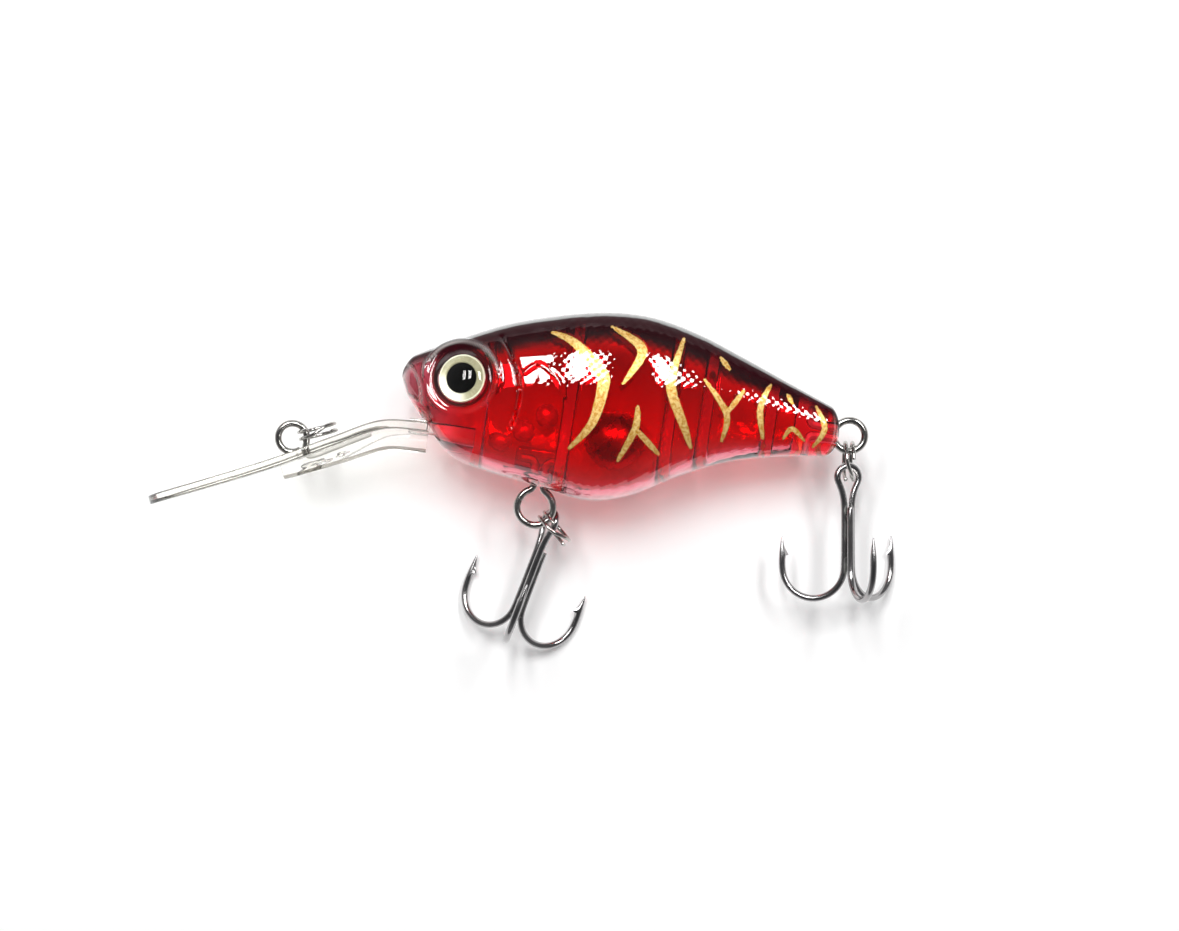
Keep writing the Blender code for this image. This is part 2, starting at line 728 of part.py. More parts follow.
def make_double_hook(name, parent, place, material):
    """One wire: a point, its shank strand, the eye, the other strand and its point."""
    pair = prongs()[:2]
    first, second = [prong_path(strand, direction, -HOOK_NECK) for strand, direction in pair]
    sweep = pi - HOOK_EYE_OPENING
    eye_centre = Vector((0, -HOOK_EYE_RADIUS, 0))
    eye = arc(eye_centre, HOOK_EYE_RADIUS, sweep, -sweep, 12, Vector((0, 1, 0)), Vector((1, 0, 0)))
    right, left = prong_shape(first), prong_shape(second)
    path = list(reversed(first)) + eye + second
    radii = list(reversed(right[0])) + [HOOK_WIRE_RADIUS] * len(eye) + left[0]
    barbs = list(reversed(right[1])) + [0.0] * len(eye) + left[1]
    mesh = bmesh.new()
    add_rings(mesh, tube_rings(path, radii, -pair[0][1], barb=barbs))
    new_object(name, mesh, parent, material).matrix_basis = place


def make_single_hook(name, parent, place, material):
    strand, direction = prongs()[2]
    mesh = bmesh.new()
    add_rings(mesh, prong_rings(strand, direction, -SINGLE_START))
    new_object(name, mesh, parent, material).matrix_basis = place


def hook_turn(slope, roll):
    """How a treble is turned about the middle of its eye."""
    eye = Matrix.Translation((0, HOOK_EYE_RADIUS, 0))
    return Matrix.Rotation(slope, 4, "X") @ Matrix.Rotation(roll, 4, "Y") @ eye


def resting_slope(eye_height, roll):
    """Slope of a treble's shank at which its lowest prong just meets the table."""
    surface = [point for strand, direction in prongs()
               for ring in prong_rings(strand, direction, -SINGLE_START) for point in ring]
    low, high = radians(-30), radians(60)
    for _ in range(40):
        slope = (low + high) / 2
        turn = hook_turn(slope, roll)
        reach = -min((turn @ point).z for point in surface)
        if reach + TABLE_GAP > eye_height:
            high = slope
        else:
            low = slope
    return slope


def hang_place(angle):
    """Frame on a ring's wire at an angle round it, towards the table, from the strand on its eye."""
    middle = Matrix.Translation((0, link_seat() - RING_RADIUS, 0))
    return middle @ Matrix.Rotation(-angle, 4, "X") @ Matrix.Translation((0, RING_RADIUS, 0))


def make_treble(name, ring_pivot, ring_frame, hang, lean, roll, material):
    """Treble hook whose eye sits about one strand of its split ring."""
    strand = hang_place(hang)
    pivot = new_empty(name + "_pivot", ring_pivot, strand)
    eye = (ring_frame @ strand).translation
    slope = resting_slope(eye.z + BODY_HALF_WIDTH, roll)
    pull = Vector((sin(lean), -cos(lean), 0))
    along = Vector((cos(lean), sin(lean), 0))
    basis = Matrix((along, -pull, UP)).transposed().to_4x4()
    in_lure = Matrix.Translation(eye) @ basis @ hook_turn(slope, roll)
    place = (ring_frame @ strand).inverted() @ in_lure
    make_double_hook(name + "_double", pivot, place, material)
    make_single_hook(name + "_single", pivot, place, material)


def ball_rest(u, v, radius):
    """How far out from the seam a ball comes to rest on the inside of the flank."""
    low, high = 0.0, BODY_HALF_WIDTH
    reach = radius + BALL_CLEARANCE
    for _ in range(40):
        out = (low + high) / 2
        fits = True
        for a in (pi * k / 8 for k in range(16)):
            for b in (radians(0), radians(30), radians(60), radians(90)):
                spot_u = u + reach * cos(a) * cos(b)
                spot_v = v + reach * sin(a) * cos(b)
                if flank(spot_u, spot_v, WALL) < out + reach * sin(b):
                    fits = False
        if fits:
            low = out
        else:
            high = out
    return low


def make_ball(name, u, v, radius, parent, material):
    pivot = new_empty(name + "_slide", parent, Matrix.Translation((u, v, -ball_rest(u, v, radius))))
    mesh = bmesh.new()
    bmesh.ops.create_uvsphere(mesh, u_segments=16, v_segments=10, radius=radius)
    new_object(name, mesh, pivot, material)


def make_balls(parent, ballast_material, rattle_material):
    spans = chambers()
    make_ball("ballast_ball", sum(spans[1]) / 2, BALLAST_LEVEL, BALLAST_RADIUS, parent, ballast_material)
    middle = sum(spans[0]) / 2
    count = len(RATTLE_LEVELS)
    for k, level in enumerate(RATTLE_LEVELS):
        u = middle + (k - (count - 1) / 2) * RATTLE_PITCH
        make_ball(f"rattle_ball_{k + 1}", u, level, RATTLE_RADIUS, parent, rattle_material)


def set_origin(root):
    """Put the origin under the middle of the whole lure as it lies."""
    bpy.context.view_layer.update()
    graph = bpy.context.evaluated_depsgraph_get()
    points = []
    for piece in bpy.data.objects:
        if piece.type == "MESH" and not piece.hide_render:
            shape = piece.evaluated_get(graph)
            points += [shape.matrix_world @ vertex.co for vertex in shape.data.vertices]
    middle = [(min(p[k] for p in points) + max(p[k] for p in points)) / 2 for k in (0, 1)]
    root.location = (-middle[0], -middle[1], BODY_HALF_WIDTH)
    bpy.context.view_layer.update()


def build():
    clear_scene()
    red = make_material("clear_red_plastic", (0.45, 0.01, 0.02), 0.08, 0.0)
    clear = make_material("clear_plastic", (0.85, 0.86, 0.84), 0.05, 0.0, 0.35)
    steel = make_material("wire_steel", (0.42, 0.40, 0.38), 0.25, 1.0)
    nickel = make_material("black_nickel", (0.10, 0.10, 0.11), 0.22, 1.0)
    iris = make_material("eye_foil", (0.72, 0.70, 0.48), 0.25, 0.3)
    resin = make_material("eye_resin", (0.9, 0.9, 0.88), 0.03, 0.0, 0.2)
    ball_steel = make_material("ball_steel", (0.35, 0.34, 0.34), 0.2, 1.0)

    lure = new_empty("lure", None)
    for side_name, side in SIDES:
        make_shell(side_name + "_shell", side, lure, red)
        make_eye(side_name, side, lure, iris, resin)
    make_lip(lure, clear)

    belly_path, tail_path = fitting_paths()
    make_wire("belly_hanger", belly_path, lure, steel)
    make_wire("tail_hanger", tail_path, lure, steel)
    make_wire("line_tie_wire", line_tie_path(), lure, steel)

    tie_eye = line_tie_centre()
    tie_place = ring_place(tie_eye, LINE_TIE_RADIUS, LINE_TIE_RING_LEAN, LINE_TIE_RING_TILT)
    make_ring("line_tie_ring", tie_place, lure, steel)
    belly_eye = belly_eye_place().translation
    belly_place = ring_place(belly_eye, BELLY_EYE_RADIUS, BELLY_RING_LEAN, BELLY_RING_TILT)
    belly_pivot = make_ring("belly_split_ring", belly_place, lure, steel)
    make_treble("belly_hook", belly_pivot, belly_place, BELLY_HOOK_HANG, BELLY_HOOK_LEAN,
                BELLY_HOOK_ROLL, nickel)
    tail_eye = tail_eye_place().translation
    tail_place = ring_place(tail_eye, TAIL_EYE_RADIUS, TAIL_RING_LEAN, TAIL_RING_TILT)
    tail_pivot = make_ring("tail_split_ring", tail_place, lure, steel)
    make_treble("tail_hook", tail_pivot, tail_place, TAIL_HOOK_HANG, TAIL_HOOK_LEAN,
                TAIL_HOOK_ROLL, nickel)

    make_balls(lure, ball_steel, ball_steel)
    set_origin(lure)
    gap = least_self_gap(ring_path(link_seat()), RING_WIRE_RADIUS)
    print(f"split ring: least gap between its turns {gap / MM:.2f} mm")


build()
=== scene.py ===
"""Looks of a deep-diving crankbait lure that lies on its right flank.

Lure axes: u runs aft from the nose, v up towards the back and w out of the left flank.
They point along the world's X, Y and Z from the lure's own zero point.
"""
from contextlib import contextmanager
from math import asin, cos, pi, radians, sin, sqrt, tan

import bpy
import numpy as np
from mathutils import Matrix, Vector
from mathutils.kdtree import KDTree


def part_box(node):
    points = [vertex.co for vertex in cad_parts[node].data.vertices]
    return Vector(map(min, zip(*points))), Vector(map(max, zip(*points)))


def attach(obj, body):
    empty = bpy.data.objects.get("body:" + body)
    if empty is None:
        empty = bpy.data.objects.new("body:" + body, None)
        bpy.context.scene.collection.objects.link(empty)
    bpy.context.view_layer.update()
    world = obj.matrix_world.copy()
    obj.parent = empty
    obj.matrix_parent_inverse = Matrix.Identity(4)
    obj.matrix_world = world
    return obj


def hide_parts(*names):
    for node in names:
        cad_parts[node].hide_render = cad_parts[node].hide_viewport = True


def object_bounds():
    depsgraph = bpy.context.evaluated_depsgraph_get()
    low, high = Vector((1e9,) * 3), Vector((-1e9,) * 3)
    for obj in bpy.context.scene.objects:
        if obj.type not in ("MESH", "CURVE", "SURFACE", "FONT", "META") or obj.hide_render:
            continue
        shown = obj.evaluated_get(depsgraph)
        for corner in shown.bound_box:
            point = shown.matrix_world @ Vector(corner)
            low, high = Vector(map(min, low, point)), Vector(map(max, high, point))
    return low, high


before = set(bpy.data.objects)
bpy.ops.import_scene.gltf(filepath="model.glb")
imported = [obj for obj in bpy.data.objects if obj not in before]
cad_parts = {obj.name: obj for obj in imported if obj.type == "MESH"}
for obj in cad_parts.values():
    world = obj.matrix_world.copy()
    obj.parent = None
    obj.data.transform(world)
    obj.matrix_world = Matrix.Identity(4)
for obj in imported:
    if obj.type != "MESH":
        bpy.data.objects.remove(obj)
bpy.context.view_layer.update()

MM = 0.001

# Body: outside form
BODY_LENGTH = 58.1 * MM
BACK_HEIGHT = 12.2 * MM
BELLY_DEPTH = 12.9 * MM
BODY_HALF_WIDTH = 8.7 * MM
NOSE_ROUND = 1.3 * MM
TAIL_ROUND = 1.6 * MM
WIDEST_SHARE = 0.46
SECTION_POWER = 2.5
# Share of the length, then shares of the back height, belly depth and half width there
BODY_SHAPE = (
    (0.000, 0.156, 0.124, 0.264),
    (0.052, 0.303, 0.388, 0.517),
    (0.129, 0.492, 0.736, 0.701),
    (0.224, 0.705, 0.860, 0.862),
    (0.344, 0.885, 0.930, 0.977),
    (0.456, 0.992, 1.000, 1.000),
    (0.551, 0.996, 0.884, 0.954),
    (0.654, 0.893, 0.616, 0.793),
    (0.757, 0.725, 0.403, 0.598),
    (0.869, 0.525, 0.271, 0.437),
    (1.000, 0.295, 0.178, 0.287),
)
BODY_ROWS = 270
END_ROWS = 14
SECTION_COLUMNS = 150
WHOLE_COLUMNS = 120
SEAM_HALF_GAP = 0.05 * MM
SEAM_EASE = 0.35 * MM
SEAM_EASE_DEPTH = 0.12 * MM
# Points nearer than this are one, in a shaped grid and in a node's mesh
GRID_WELD, NODE_WELD = 1e-7, 1e-6
CURVE_STEPS = 8
# Slopes are taken over this step, and no smaller distance is divided by
SMALL_STEP = 0.1 * MM
# A face is square to a direction where the cosine between them is over this
SQUARE_FACE = 0.999

# Body: walls and chambers
WALL = 1.4 * MM
CHAMBERS = ((12.0 * MM, 21.85 * MM), (23.15 * MM, 34.75 * MM), (36.05 * MM, 39.39 * MM),
            (40.69 * MM, 47.89 * MM), (49.19 * MM, 52.0 * MM))
CHAMBER_COLUMNS = 72
CHAMBER_STEP = 0.7 * MM
CHAMBER_FILLET = 0.45 * MM
BOSS_AFT = 19.9 * MM
BOSS_HALF_LENGTH = 3.45 * MM
BOSS_HALF_WIDTH = 2.4 * MM
BOSS_TOP = -7.0 * MM
BOSS_FILLET = 0.5 * MM

# Eyes
EYE_AFT = 8.0 * MM
EYE_LEVEL = 0.5 * MM
EYE_RADIUS = 3.15 * MM
EYE_CLEARANCE = 0.08 * MM
EYE_SEAT_DEPTH = 0.9 * MM
EYE_SEAT_REACH = 2.0 * MM
EYE_DISC_THICKNESS = 0.5 * MM
EYE_DISC_RIM = 0.12 * MM
EYE_DISC_FOOT = EYE_CLEARANCE - EYE_SEAT_DEPTH
EYE_DISC_TOP = EYE_DISC_FOOT + EYE_DISC_THICKNESS
EYE_DOME_HEIGHT = 1.1 * MM
EYE_DOME_ROWS = 24
TURNED_COLUMNS = 96
PUPIL_RADIUS = 1.9 * MM
# Painted light: the iris is painted pale round this turn, where the dome would focus the window's light,
# between these cosines from it
EYE_CAUSTIC_TURN = radians(-125)
EYE_CAUSTIC_SPREAD = (0.35, 0.95)

# Relief moulded into the flanks, which grows between two distances from the seam
RELIEF_GROWS = (0.8 * MM, 2.4 * MM)
BROW_RADIUS = 4.85 * MM
BROW_WIDTH = 0.3 * MM
BROW_HEIGHT = 0.42 * MM
# Share of its height that the brow has under the eye, and the sines between which it gains the rest
BROW_LEAST = 0.12
BROW_GAINS = (-0.55, 0.45)
SOCKET_RADIUS = 3.9 * MM
SOCKET_WIDTH = 0.6 * MM
SOCKET_DEPTH = 0.34 * MM
GILL_LINE = ((12.4 * MM, 6.6 * MM), (14.9 * MM, 2.9 * MM), (15.9 * MM, -1.0 * MM), (15.3 * MM, -4.8 * MM))
GILL_WIDTH = 0.26 * MM
GILL_DEPTH = 0.3 * MM
# The plate ahead of the gill line starts between the foot levels and ends between the top levels
GILL_PLATE = 0.26 * MM
GILL_PLATE_REACH = 3.6 * MM
GILL_PLATE_FOOT = (-6.5 * MM, -4.0 * MM)
GILL_PLATE_TOP = (5.5 * MM, 7.5 * MM)
MOUTH_LINE = ((0.2 * MM, 1.5 * MM), (1.75 * MM, 0.45 * MM), (2.8 * MM, -1.2 * MM), (3.4 * MM, -3.5 * MM))
CHEEK_LINE = ((16.0 * MM, 2.3 * MM), (17.8 * MM, 3.7 * MM), (20.3 * MM, 2.2 * MM), (22.0 * MM, -0.8 * MM))
FINE_LINE_WIDTH = 0.2 * MM
FINE_LINE_HEIGHT = 0.14 * MM
SCALE_PITCH = 1.15 * MM
SCALE_ROW_PITCH = 0.5 * SCALE_PITCH
SCALE_REACH = 0.62 * SCALE_PITCH
SCALE_HEIGHT = 0.06 * MM
SCALES_START = 18.0 * MM
SCALES_END = 57.5 * MM
SCALES_FADE = 2.0 * MM

# Diving lip: its middle line in the plane of symmetry, from the tip to inside the head
LIP_LINE = ((-30.5 * MM, -21.5 * MM), (-22.0 * MM, -17.7 * MM), (-13.5 * MM, -13.6 * MM),
            (-7.0 * MM, -10.0 * MM), (-1.5 * MM, -7.1 * MM), (3.5 * MM, -6.5 * MM),
            (11.0 * MM, -6.5 * MM))
LIP_TIP, LIP_ROOT, TONGUE_END = LIP_LINE[0][0], LIP_LINE[-2][0], LIP_LINE[-1][0]
LIP_THICKNESS = 1.2 * MM
LIP_HALF_WIDTH = 8.5 * MM
LIP_ROOT_HALF_WIDTH = 5.2 * MM
LIP_TIP_ROUND = 9.0 * MM
LIP_WAIST_START = -12.0 * MM
LIP_EDGE_ROUND = 0.32 * MM
# A face of the blade is on a rounded edge where the cosine to the blade's normal lies between these
LIP_EDGE_SLANT = (0.2, 0.97)
LIP_END = 4.5 * MM
LIP_ROWS = 70
LIP_TIP_STEPS = 24
LIP_SIDE_STEPS = 40
LIP_CLEARANCE = 0.08 * MM
CORNER_STEPS = 5
TONGUE_HALF_WIDTH = 2.8 * MM
TONGUE_THICKNESS = 2.0 * MM
TONGUE_CORNER = 0.3 * MM
TONGUE_START = 2.0 * MM
TONGUE_SLOT_START = -1.2 * MM
TONGUE_ROWS = 24
RIB_FRONT = -14.3 * MM
RIB_DEPTH = 3.4 * MM
RIB_FRONT_SHARE = 0.68
RIB_HALF_WIDTH = 1.3 * MM
RIB_FOOT_HALF_WIDTH = 0.9 * MM
RIB_CORNER = 0.5 * MM
RIB_RISE = 0.3 * MM
RIB_OVERLAP = 1.0 * MM
RIB_ROWS = 40
# Air pockets in the rib: place along the lure, drop under the blade's middle, half length, depth and width
BUBBLES = ((-10.6 * MM, 1.75 * MM, 2.2 * MM, 0.62 * MM, 0.6 * MM),
           (-7.1 * MM, 1.7 * MM, 0.9 * MM, 0.3 * MM, 0.45 * MM))
# Shares by which coarse and fine waves swell a pocket
COARSE_SWELL, FINE_SWELL = 0.22, 0.14

# Wires
WIRE_RADIUS = 0.475 * MM
RING_WIRE_RADIUS = 0.25 * MM
HOOK_WIRE_RADIUS = 0.45 * MM
# Rounding a wire's facets off takes this share of its radius, and creases keep a hook's point and barb sharp
FACET_LOSS = 0.108
QUAD_ANGLE = radians(60)
HOOK_CREASE = 0.85
HOOK_CREASE_ANGLE = radians(58)
BRAZE_REACH = 0.6 * MM
WIRE_CLEARANCE = 0.12 * MM
TAIL_EYE_REACH = 1.4 * MM
TAIL_EYE_RADIUS = 2.05 * MM
TAIL_EYE_LEVEL = 0.7 * MM

# Paint: its bands are full where the body is this high and narrow with it to a least share, and aft of
# the bare nose the red deepens with this slope
FULL_PAINT_HEIGHT = 14.0 * MM
LEAST_PAINT_SHARE = 0.45
NOSE_PAINT_RISE = 0.35
# The brow's crest is painted pale as a highlight on its upper side, growing between these shares of its
# radius above the eye, and the mouth line has a share of that painted highlight
CREST_WIDTH = 0.17 * MM
CREST_GROWS = (0.1, 0.5)
MOUTH_CREST = 0.6
# Painted shade: the top of each eye's socket is painted dark, growing between these sines above the eye
SHADE_GROWS = (-0.3, 0.6)

# Gold bars on the flanks, in mm: marks along each stroke (u, v), then half widths at its ends and middle
BARS = (
    (((18.9, 8.1), (22.0, 7.1), (25.8, 3.9), (26.4, 2.0), (25.7, -2.8), (23.3, -6.4)), 0.2, 0.8),
    (((26.4, 10.0), (30.0, 8.3), (30.7, 6.6), (28.9, 2.8)), 0.15, 0.65),
    (((35.9, 9.8), (35.1, 5.3), (35.3, 2.7), (37.6, -1.6), (38.8, -4.0)), 0.2, 0.65),
    (((31.2, 0.2), (31.3, -2.7), (29.7, -7.1)), 0.2, 0.45),
    (((31.3, -2.7), (34.8, -5.5)), 0.2, 0.4),
    (((41.0, 8.2), (42.4, 6.8)), 0.15, 0.35),
    (((39.3, 5.0), (42.8, 1.0), (42.7, -2.6)), 0.15, 0.4),
    (((44.6, 4.3), (42.8, 1.0)), 0.15, 0.35),
    (((48.0, 5.6), (47.1, 2.4), (48.0, -1.4)), 0.2, 0.42),
    (((50.4, 4.8), (51.2, 3.7)), 0.12, 0.3),
    (((50.7, -1.1), (51.6, 0.4), (53.5, -0.9)), 0.12, 0.32),
    (((54.4, 3.8), (55.9, 1.1), (54.8, -1.5)), 0.15, 0.38),
)
# Share of a stroke's length at each end where its width stays the same
BAR_TIP_SHARE = 0.02

# Camera and light, with the photograph's frame
FRAME_WIDTH = 1179
FRAME_PIXELS_PER_MM = 7.582
CAMERA_DISTANCE = 400 * MM
CAMERA_AIM = (26.18 * MM, -8.29 * MM)
CAMERA_ROLL = radians(8.57)
SENSOR_WIDTH = 36.0
NEAR_CLIP = 10 * MM
# A bank of window panes: how far each stands to the right and all stand up in the frame, for each unit
# of height above the table, and how wide and tall they look from the lure
PANES_RIGHT = (-0.36, -0.04, 0.55)
PANES_UP = 0.53
PANE_WIDTH = radians(8.2)
PANE_HEIGHT = radians(26)
PANE_DISTANCE = 1.2
PANE_RADIANCE = 18.5
TABLE_SIZE = 6.0
TABLE_GAP = 0.01 * MM
# How far the white table glows: straight to the camera, and in mirrors and clear plastic
TABLE_GLOW = 0.14
TABLE_GLOW_MIRRORED = 0.28


def lure_zero():
    """Where the lure's u, v and w are zero, from the wire eye at its tail."""
    low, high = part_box("tail_hanger")
    reach = BODY_LENGTH + TAIL_EYE_REACH + TAIL_EYE_RADIUS + WIRE_RADIUS
    return Vector((high.x - reach, (low.y + high.y) / 2 - TAIL_EYE_LEVEL, (low.z + high.z) / 2))


ZERO = lure_zero()


# Modelling, as by hand

def only(piece):
    """Select this piece alone."""
    bpy.ops.object.select_all(action="DESELECT")
    bpy.context.view_layer.objects.active = piece
    piece.select_set(True)


@contextmanager
def editing(piece, mode="VERT"):
    """Edit mode on one piece with all of it selected."""
    only(piece)
    bpy.ops.object.mode_set(mode="EDIT")
    bpy.ops.mesh.select_mode(type=mode)
    bpy.ops.mesh.select_all(action="SELECT")
    yield
    bpy.ops.object.mode_set(mode="OBJECT")


def apply(piece, kind, **settings):
    """Add a modifier and apply it."""
    only(piece)
    modifier = piece.modifiers.new(kind.title(), kind)
    for name, value in settings.items():
        setattr(modifier, name, value)
    bpy.ops.object.modifier_apply(modifier=modifier.name)


def boolean(piece, tool, operation):
    """Join a tool to a piece or cut it away, and throw the tool away."""
    apply(piece, "BOOLEAN", operation=operation, object=tool, solver="EXACT", material_mode="TRANSFER")
    bpy.data.objects.remove(tool)


def points_of(piece):
    flat = np.empty(len(piece.data.vertices) * 3)
    piece.data.vertices.foreach_get("co", flat)
    return flat.reshape(-1, 3)


def move_points(piece, points):
    piece.data.vertices.foreach_set("co", np.asarray(points).ravel())
    piece.data.update()


def add_grid(name, places):
    """A grid whose points go to places, an array of rows by columns in lure axes."""
    rows, columns = places.shape[0] - 1, places.shape[1] - 1
    bpy.ops.object.select_all(action="DESELECT")
    bpy.ops.mesh.primitive_grid_add(x_subdivisions=rows, y_subdivisions=columns, size=1)
    piece = bpy.context.object
    piece.name = piece.data.name = name
    spots = points_of(piece)
    row = np.rint((spots[:, 0] + 0.5) * rows).astype(int)
    column = np.rint((spots[:, 1] + 0.5) * columns).astype(int)
    move_points(piece, places[row, column] + np.array(ZERO))
    return piece


def close(piece):
    """Weld a shaped grid where its edges meet, fill its open ends and turn its faces out."""
    with editing(piece):
        bpy.ops.mesh.remove_doubles(threshold=GRID_WELD)
        bpy.ops.mesh.select_all(action="DESELECT")
        bpy.ops.mesh.select_non_manifold()
        bpy.ops.mesh.fill_holes(sides=0)
        bpy.ops.mesh.select_all(action="SELECT")
        bpy.ops.mesh.normals_make_consistent(inside=False)
    return piece


def ring_solid(name, rings):
    """A closed solid through rings of points in lure axes."""
    places = np.array(rings)
    return close(add_grid(name, np.concatenate((places, places[:, :1]), axis=1)))


def join(pieces):
    bpy.ops.object.select_all(action="DESELECT")
    for piece in pieces:
        piece.select_set(True)
    bpy.context.view_layer.objects.active = pieces[0]
    bpy.ops.object.join()
    return pieces[0]


def welded_copy(node, name):
    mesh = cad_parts[node].data.copy()
    piece = bpy.data.objects.new(name, mesh)
    mesh.name = name
    bpy.context.scene.collection.objects.link(piece)
    mesh.materials.clear()
    with editing(piece):
        bpy.ops.mesh.customdata_custom_splitnormals_clear()
        bpy.ops.mesh.remove_doubles(threshold=NODE_WELD)
    return piece


def channel(node):
    """A cutter that leaves a little room round an embedded wire."""
    piece = welded_copy(node, "channel")
    with editing(piece):
        bpy.ops.transform.shrink_fatten(value=WIRE_CLEARANCE)
    return piece


def finer_copy(node, name, radius, crease=None):
    """A smooth copy of a wire node, kept at its radius as the facets are rounded off."""
    piece = welded_copy(node, name)
    with editing(piece):
        bpy.ops.mesh.tris_convert_to_quads(face_threshold=QUAD_ANGLE, shape_threshold=QUAD_ANGLE)
        bpy.ops.transform.shrink_fatten(value=FACET_LOSS * radius)
        bpy.ops.mesh.select_all(action="DESELECT")
        if crease:
            bpy.ops.mesh.select_mode(type="EDGE")
            bpy.ops.mesh.edges_select_sharp(sharpness=crease)
            bpy.ops.transform.edge_crease(value=HOOK_CREASE)
    apply(piece, "SUBSURF", levels=2, render_levels=2)
    smooth(piece, 60)
    return piece


def smooth(piece, angle=40):
    only(piece)
    bpy.ops.object.shade_smooth_by_angle(angle=radians(angle))


def dress(piece, body, nodes, material):
    """Give a piece its finish and the body it moves with, and hide the CAD nodes that it stands in for."""
    piece.data.materials.clear()
    piece.data.materials.append(material)
    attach(piece, body)
    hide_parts(*nodes)


def store(piece, name, values, domain="POINT"):
    """Keep one number for each point or face, which the finishes read."""
    attribute = piece.data.attributes.new(name, "FLOAT", domain)
    attribute.data.foreach_set("value", values.astype(np.float32))


# Shape of the body

def smooth_value(table, column, x):
    """Cubic through the rows of a table whose first column is x."""
    rows = np.array(table)
    knots, values = rows[:, 0], rows[:, column]
    slopes = np.empty_like(values)
    slopes[1:-1] = (values[2:] - values[:-2]) / (knots[2:] - knots[:-2])
    slopes[0] = (values[1] - values[0]) / (knots[1] - knots[0])
    slopes[-1] = (values[-1] - values[-2]) / (knots[-1] - knots[-2])
    i = np.clip(np.searchsorted(knots, x) - 1, 0, len(knots) - 2)
    span = knots[i + 1] - knots[i]
    t = (x - knots[i]) / span
    return (values[i] * (1 + 2 * t) * (1 - t) ** 2 + span * slopes[i] * t * (1 - t) ** 2
            + values[i + 1] * t * t * (3 - 2 * t) + span * slopes[i + 1] * t * t * (t - 1))


def end_rounding(u):
    nose = np.maximum(0.0, 1 - u / NOSE_ROUND)
    tail = np.maximum(0.0, 1 - (BODY_LENGTH - u) / TAIL_ROUND)
    return np.sqrt(np.maximum(0.0, 1 - nose * nose)) * np.sqrt(np.maximum(0.0, 1 - tail * tail))


def section(u, inset=0.0):
    """Widest level, height above it, depth below it and half width of sections."""
    share = np.clip(u / BODY_LENGTH, 0.0, 1.0)
    back = BACK_HEIGHT * smooth_value(BODY_SHAPE, 1, share)
    belly = -BELLY_DEPTH * smooth_value(BODY_SHAPE, 2, share)
    half_width = BODY_HALF_WIDTH * np.minimum(1.0, smooth_value(BODY_SHAPE, 3, share))
    scale = end_rounding(u)
    widest = belly + WIDEST_SHARE * (back - belly)
    return (widest, (back - widest) * scale - inset, (widest - belly) * scale - inset,
            half_width * scale - inset)


def flank(u, v):
    """How far the flank stands out from the seam at u and level v."""
    widest, above, below, half_width = section(u)
    share = np.minimum(1.0, np.abs(v - widest) / np.where(v > widest, above, below))
    return half_width * (1 - share ** SECTION_POWER) ** (1 / SECTION_POWER)


def body_points(stations, angles, inset=0.0, seam=0.0):
    """Points of the body's surface: one row for each station, from belly to back."""
    u, angle = stations[:, None], angles[None, :]
    widest, above, below, half_width = (value[:, None] for value in section(stations, inset))
    power = SECTION_POWER
    reach = (np.abs(np.cos(angle)) ** power + np.abs(np.sin(angle)) ** power) ** (-1 / power)
    up, out = np.sin(angle) * reach, np.cos(angle) * reach
    v = widest + np.where(up > 0, above, below) * up
    w = seam + np.maximum(half_width - seam, 0.0) * out
    return np.stack(np.broadcast_arrays(u, v, w), axis=-1)


def through(marks):
    """Points on a smooth curve through marks."""
    marks = [np.array(mark, float) for mark in marks]
    curve = []
    for k in range(len(marks) - 1):
        before, start = marks[max(k - 1, 0)], marks[k]
        end, after = marks[k + 1], marks[min(k + 2, len(marks) - 1)]
        for t in np.arange(CURVE_STEPS) / CURVE_STEPS:
            curve.append(0.5 * (2 * start + (end - before) * t
                                + (2 * before - 5 * start + 4 * end - after) * t * t
                                + (3 * start - before - 3 * end + after) * t ** 3))
    return curve + [marks[-1]]


def line_distance(u, v, marks):
    """Distance of points from a smooth line, and how far along it the nearest spot is, from 0 to 1."""
    path = through(marks)
    nearest, along = np.full(u.shape, np.inf), np.zeros(u.shape)
    for k, (start, end) in enumerate(zip(path, path[1:])):
        run = end - start
        share = np.clip(((u - start[0]) * run[0] + (v - start[1]) * run[1]) / run.dot(run), 0, 1)
        away = np.hypot(u - start[0] - share * run[0], v - start[1] - share * run[1])
        along = np.where(away < nearest, (k + share) / (len(path) - 1), along)
        nearest = np.minimum(nearest, away)
    return nearest, along


def ease(x, low, high):
    t = np.clip((x - low) / (high - low), 0.0, 1.0)
    return t * t * (3 - 2 * t)


def hump(distance, width):
    return np.exp(-(distance / width) ** 2)


def scales(u, v):
    """Rows of low overlapping scales."""
    height = np.zeros(u.shape)
    row = np.floor(v / SCALE_ROW_PITCH)
    for step in (-1, 0, 1, 2):
        this_row = row + step
        shift = 0.5 * (this_row % 2)
        column = np.round(u / SCALE_PITCH - shift) + shift
        away = np.hypot(u - column * SCALE_PITCH, v - this_row * SCALE_ROW_PITCH) / SCALE_REACH
        height = np.maximum(height, 1 - away ** 2)
    return height


def about_eye(u, v):
    """Distance from the eye's middle, and the sine of the angle above its level."""
    around = np.hypot(u - EYE_AFT, v - EYE_LEVEL)
    return around, (v - EYE_LEVEL) / np.maximum(around, SMALL_STEP)


